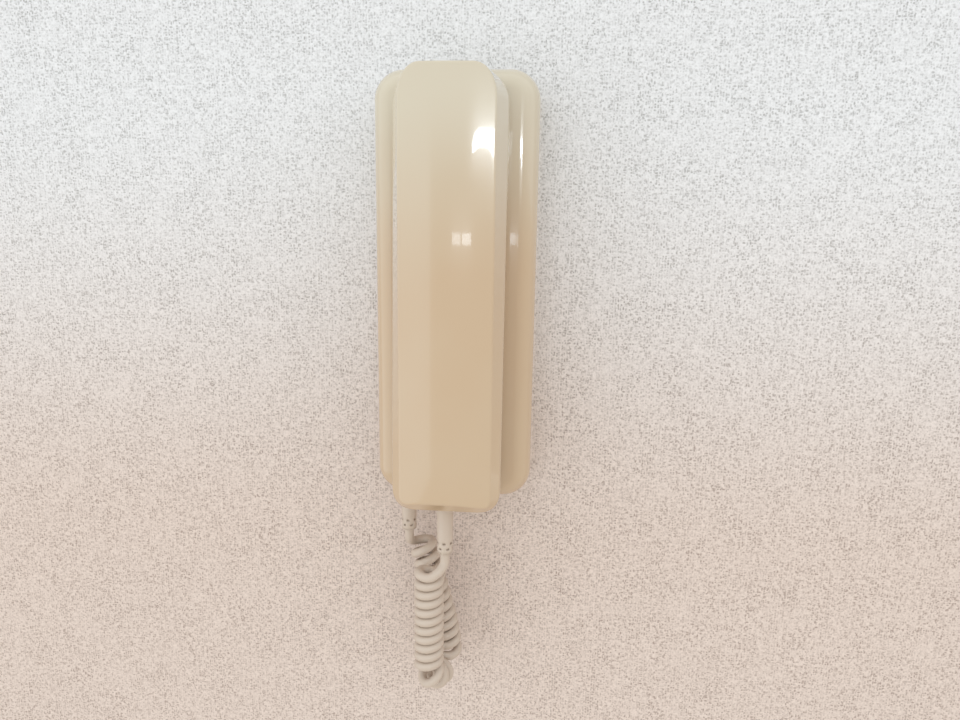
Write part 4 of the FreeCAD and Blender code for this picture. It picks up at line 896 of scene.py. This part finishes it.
def curled_cord():
    """The cord in two lengths that meet where the front coil turns under.

    The back length stays with the base, and the front length's last rings narrow inside the back one.
    """
    sizes = settings("telephone_cord")
    line, sideways = cord_line(sizes)
    rings = sheath_rings(sizes, line, sideways)
    split = int(np.argmax(line[:, 2] < CORD_SPLIT_RISE))
    lap = split + len(LAP_SHARES)
    front = cord_length_piece("curled_cord_front", sizes, line[:lap], rings[:lap], LAP_SHARES)
    back = cord_length_piece("curled_cord_back", sizes, line[split:], rings[split:], ())
    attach(back, "base")
    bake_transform(front)


def strain_relief(name, node, body):
    piece = merged_copy(name, node)
    return finish_piece(piece, cord_plastic(), body)


# Base

def button_spring():
    """The call button's spring, riding on the base with a mesh of its own."""
    piece = finish_piece(merged_copy("button_spring", "call_button_spring"), steel(), "base")
    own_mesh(piece)
    return piece


# Stage

def camera_axes(stage):
    """The camera's right, up and forward directions from its pitch, yaw and roll."""
    forward = Vector((
        -math.sin(stage.yaw) * math.cos(stage.pitch), math.cos(stage.yaw) * math.cos(stage.pitch),
        -math.sin(stage.pitch),
    ))
    level = Vector((math.cos(stage.yaw), math.sin(stage.yaw), 0.0))
    upright = level.cross(forward)
    right = level * math.cos(stage.roll) + upright * math.sin(stage.roll)
    up = upright * math.cos(stage.roll) - level * math.sin(stage.roll)
    return right, up, forward


def photo_camera():
    """The camera at the photograph's viewing angle."""
    stage = settings("telephone_stage")
    camera = bpy.data.objects.new("photo_camera", bpy.data.cameras.new("photo_camera"))
    bpy.context.scene.collection.objects.link(camera)
    camera.data.sensor_width = 36.0
    camera.data.lens = stage.lens
    camera.data.clip_start = 0.01
    right, up, forward = camera_axes(stage)
    turned = Matrix((right, up, -forward)).transposed().to_4x4()
    camera.matrix_world = Matrix.Translation(Vector(stage.camera)) @ turned
    bpy.context.scene.camera = camera
    return camera


def cells(tree, scale, randomness, stretch):
    """Scattered points over the piece's own coordinates: the distance to the nearest, and its colour."""
    texture = tree.nodes.new("ShaderNodeTexVoronoi")
    texture.inputs["Scale"].default_value = scale
    texture.inputs["Randomness"].default_value = randomness
    tree.links.new(stretched_place(tree, stretch), texture.inputs["Vector"])
    return texture.outputs["Distance"], texture.outputs["Color"]


def specks(tree, scale, randomness, reach, stretch):
    """Small hollows of uneven depth, one at most in each cell: 1 in a hollow's middle and 0 between them."""
    distance, colour = cells(tree, scale, randomness, stretch)
    parts = tree.nodes.new("ShaderNodeSeparateColor")
    tree.links.new(colour, parts.inputs["Color"])
    depth = spread(tree, parts.outputs["Red"], low=0.15, high=0.9)
    full_reach = 0.25 * reach
    spot = spread(tree, distance, reach, full_reach, ease="SMOOTHSTEP")
    return maths(tree, "MULTIPLY", spot, depth)


def wall_paper():
    """Pale embossed wall paper: small hollows on a loose weave, joined here and there, and slow stains.
    Below the phone its paper and hollows turn darker and warmer, which is painted shade, and the hollows show
    more strongly.

    From behind it is clear, and so it is to light that goes only a few millimetres to reach it, so the back
    of the telephone can be seen through it and isn't dark.
    """
    colours = settings("telephone_colours")
    material, tree, shader = shader_material("wall_paper")
    upright = specks(tree, scale=760.0, randomness=0.8, reach=0.50, stretch=(1.0, 1.0, 0.5))
    level = specks(tree, scale=760.0, randomness=0.8, reach=0.50, stretch=(0.5, 1.0, 1.0))
    dots = specks(tree, scale=720.0, randomness=0.7, reach=0.52, stretch=(1.0, 1.0, 1.0))
    hollows = maths(tree, "MAXIMUM", dots, maths(tree, "MAXIMUM", upright, level))
    slow = noise(tree, scale=60.0, detail=2.0)
    stretches = spread(tree, slow, low=0.30, high=0.62, to_low=0.40, to_high=0.70)
    fibres = spread(tree, noise(tree, scale=950.0, detail=2.0, roughness=0.65), low=0.36, high=0.64)
    fibre_share = 0.22
    # Painted shade: the share of the darker, warmer low colours, which grows below the phone.
    low = spread(tree, place_on(tree, "Z"), low=0.10, high=-0.15, ease="SMOOTHSTEP")
    stronger = spread(tree, low, low=0.0, high=1.0, to_low=1.0, to_high=1.35)
    marks = maths(tree, "MULTIPLY_ADD", fibres, fibre_share, maths(tree, "MULTIPLY", hollows, stretches))
    shade = maths(tree, "MINIMUM", maths(tree, "MULTIPLY", marks, stronger), 1.0)
    paper = blend_colours(tree, low, (*colours.wall, 1.0), (*colours.wall_low_with_painted_shade, 1.0))
    dark = blend_colours(tree, low, (*colours.wall_speck, 1.0), (*colours.wall_speck_low_with_painted_shade, 1.0))
    relief = bump(tree, maths(tree, "SUBTRACT", 1.0, hollows), distance=0.0002, strength=0.5)
    tree.links.new(blend_colours(tree, shade, paper, dark), shader.inputs["Base Color"])
    tree.links.new(relief, shader.inputs["Normal"])
    shader.inputs["Roughness"].default_value = 0.85
    clear = tree.nodes.new("ShaderNodeBsdfTransparent")
    facing = tree.nodes.new("ShaderNodeNewGeometry")
    way = tree.nodes.new("ShaderNodeLightPath")
    near = maths(tree, "LESS_THAN", way.outputs["Ray Length"], WALL_CLEAR_WAY)
    opened = maths(tree, "MAXIMUM", facing.outputs["Backfacing"], near)
    choose = tree.nodes.new("ShaderNodeMixShader")
    output = tree.nodes["Material Output"]
    tree.links.new(opened, choose.inputs["Fac"])
    tree.links.new(shader.outputs["BSDF"], choose.inputs[1])
    tree.links.new(clear.outputs["BSDF"], choose.inputs[2])
    tree.links.new(choose.outputs["Shader"], output.inputs["Surface"])
    return material


def backdrop():
    """The wall behind the telephone: one flat sheet whose face looks at the camera."""
    square = ((-1, -1), (1, -1), (1, 1), (-1, 1))
    corners = np.array([(WALL_HALF * x, WALL_GAP, WALL_HALF * z) for x, z in square])
    wall = mesh_object("wall", corners, np.array([[0, 1, 2, 3]]), smooth=False)
    wall.data.materials.append(wall_paper())
    return wall


def bright_shape(name, corners, strength, colour=(0.86, 0.94, 1.0)):
    """A flat glowing shape in front of the telephone, which shows in its gloss alone."""
    points = np.array([(right, BRIGHT_OUT, rise) for right, rise in corners])
    shape = mesh_object(name, points, np.array([range(len(corners))]), smooth=False)
    material = bpy.data.materials.new(name)
    material.use_nodes = True
    material.node_tree.nodes.clear()
    glow = material.node_tree.nodes.new("ShaderNodeEmission")
    output = material.node_tree.nodes.new("ShaderNodeOutputMaterial")
    glow.inputs["Color"].default_value = (*colour, 1.0)
    glow.inputs["Strength"].default_value = strength
    material.node_tree.links.new(glow.outputs["Emission"], output.inputs["Surface"])
    shape.data.materials.append(material)
    for kind in ("visible_camera", "visible_diffuse", "visible_shadow", "visible_transmission"):
        setattr(shape, kind, False)
    return shape


def arch_corners():
    """The outline of a bright window: a rounded upper left corner, and legs either side of a low hump."""
    turn = np.linspace(np.pi, np.pi / 2, ARCH_POINTS)
    corner = zip(
        ARCH_CORNER_CENTRE[0] + ARCH_CORNER_REACH[0] * np.cos(turn),
        ARCH_CORNER_CENTRE[1] + ARCH_CORNER_REACH[1] * np.sin(turn),
    )
    share = np.linspace(1.0, -1.0, ARCH_POINTS)
    hump = zip(ARCH_HUMP_TOP[0] + ARCH_HUMP_HALF * share, ARCH_HUMP_TOP[1] - ARCH_HUMP_FALL * share ** 2)
    return [*corner, *ARCH_RIGHT_LEG, *hump, ARCH_LEFT_FOOT]


def studio_lights():
    """A pale room that is brighter overhead and at the left, and three bright windows for the gloss.

    A direction is read as how far it goes sideways, and how far up, for each step out from the wall.
    """
    colours = settings("telephone_colours")
    world = bpy.data.worlds.new("pale_room")
    bpy.context.scene.world = world
    world.use_nodes = True
    tree = world.node_tree
    background = tree.nodes["Background"]
    place = tree.nodes.new("ShaderNodeTexCoord")
    parts = tree.nodes.new("ShaderNodeSeparateXYZ")
    tree.links.new(place.outputs["Generated"], parts.inputs["Vector"])
    out = maths(tree, "MAXIMUM", maths(tree, "MULTIPLY", parts.outputs["Y"], -1.0), LEAST_OUT)
    sideways = maths(tree, "DIVIDE", parts.outputs["X"], out)
    upward = maths(tree, "DIVIDE", parts.outputs["Z"], out)
    lean = maths(tree, "MAXIMUM", maths(tree, "MULTIPLY_ADD", upward, LEAN_SLOPE, LEAN_START), 0.0)
    edge = maths(tree, "ADD", sideways, lean)
    left = spread(tree, edge, *LEFT_EDGE, ease="SMOOTHSTEP")
    overhead = spread(tree, upward, *CEILING_EDGE, ease="SMOOTHSTEP")
    behind = spread(tree, parts.outputs["Y"], *BEHIND_EDGE)
    dim = (*colours.room, 1.0)
    lower = blend_colours(tree, left, dim, (*colours.window, 1.0))
    front = blend_colours(tree, overhead, lower, (*colours.ceiling, 1.0))
    around = blend_colours(tree, behind, front, BEHIND_COLOUR)
    seen = tree.nodes.new("ShaderNodeLightPath")
    shown = blend_colours(tree, seen.outputs["Is Camera Ray"], around, SEEN_COLOUR)
    tree.links.new(shown, background.inputs["Color"])
    background.inputs["Strength"].default_value = ROOM_STRENGTH
    bright_shape("arched_window", arch_corners(), ARCH_STRENGTH)
    for name, left_side, right_side, strength in PANES:
        low_corners = [(left_side, PANE_LOW), (right_side, PANE_LOW)]
        high_corners = [(right_side, PANE_HIGH), (left_side, PANE_HIGH)]
        bright_shape(name, low_corners + high_corners, strength)


# Operators

class TELEPHONE_OT_stage(Operator):
    """Sets up the camera, the wall and the lights"""
    bl_idname = "telephone.stage"
    bl_label = "Stage"

    def execute(self, context):
        context.scene.view_settings.view_transform = "Standard"
        photo_camera()
        backdrop()
        studio_lights()
        return {"FINISHED"}


class TELEPHONE_OT_cord(Operator):
    """Makes the two strain reliefs and the coiled cord between them"""
    bl_idname = "telephone.cord"
    bl_label = "Cord and strain reliefs"

    def execute(self, context):
        strain_relief("handset_relief", "handset_cord_relief", "handset")
        strain_relief("base_relief", "base_cord_relief", "base")
        curled_cord()
        return {"FINISHED"}


class TELEPHONE_OT_handset(Operator):
    """Makes the handset's front shell and dresses its rear shell"""
    bl_idname = "telephone.handset"
    bl_label = "Handset"

    def execute(self, context):
        handset_front()
        rear = merged_copy("handset_rear", "handset_rear_shell")
        finish_piece(rear, shell_plastic(), "handset")
        return {"FINISHED"}


class TELEPHONE_OT_base(Operator):
    """Makes the base's front cover and the spring that gives under the call button"""
    bl_idname = "telephone.base"
    bl_label = "Base cover"

    def execute(self, context):
        cover = merged_copy("base_cover", "base_front_cover")
        finish_piece(cover, shell_plastic(), "base")
        button_spring()
        return {"FINISHED"}


class TELEPHONE_OT_inner_parts(Operator):
    """Gives every part that keeps its CAD shape the finish of its record slot"""
    bl_idname = "telephone.inner_parts"
    bl_label = "Inner parts"

    def execute(self, context):
        for row in frame["record"]["subparts"]:
            if not frame["nodes"][row["node"]].hide_render:
                dress_node(row["node"], SLOT_FINISH[row["material_slot"]]())
        return {"FINISHED"}


STEPS = (
    TELEPHONE_OT_stage, TELEPHONE_OT_cord, TELEPHONE_OT_handset, TELEPHONE_OT_base, TELEPHONE_OT_inner_parts,
)


class TELEPHONE_PT_panel(Panel):
    """Lists the steps that make the telephone"""
    bl_idname = "TELEPHONE_PT_panel"
    bl_label = "Telephone"
    bl_space_type = "VIEW_3D"
    bl_region_type = "UI"
    bl_category = "Telephone"

    def draw(self, context):
        for step in STEPS:
            self.layout.operator(step.bl_idname)


SETTINGS = {
    "telephone_handset": TelephoneHandsetSizes,
    "telephone_cord": TelephoneCordSizes,
    "telephone_colours": TelephoneColours,
    "telephone_stage": TelephoneStage,
}
CLASSES = (*SETTINGS.values(), *STEPS, TELEPHONE_PT_panel)


def register():
    for item in CLASSES:
        bpy.utils.register_class(item)
    for name, group in SETTINGS.items():
        setattr(bpy.types.Scene, name, PointerProperty(type=group))


def unregister():
    for name in SETTINGS:
        delattr(bpy.types.Scene, name)
    for item in reversed(CLASSES):
        bpy.utils.unregister_class(item)


def main():
    register()
    bpy.ops.telephone.stage()
    bpy.ops.telephone.cord()
    bpy.ops.telephone.handset()
    bpy.ops.telephone.base()
    bpy.ops.telephone.inner_parts()


if __name__ == "__main__":
    main()
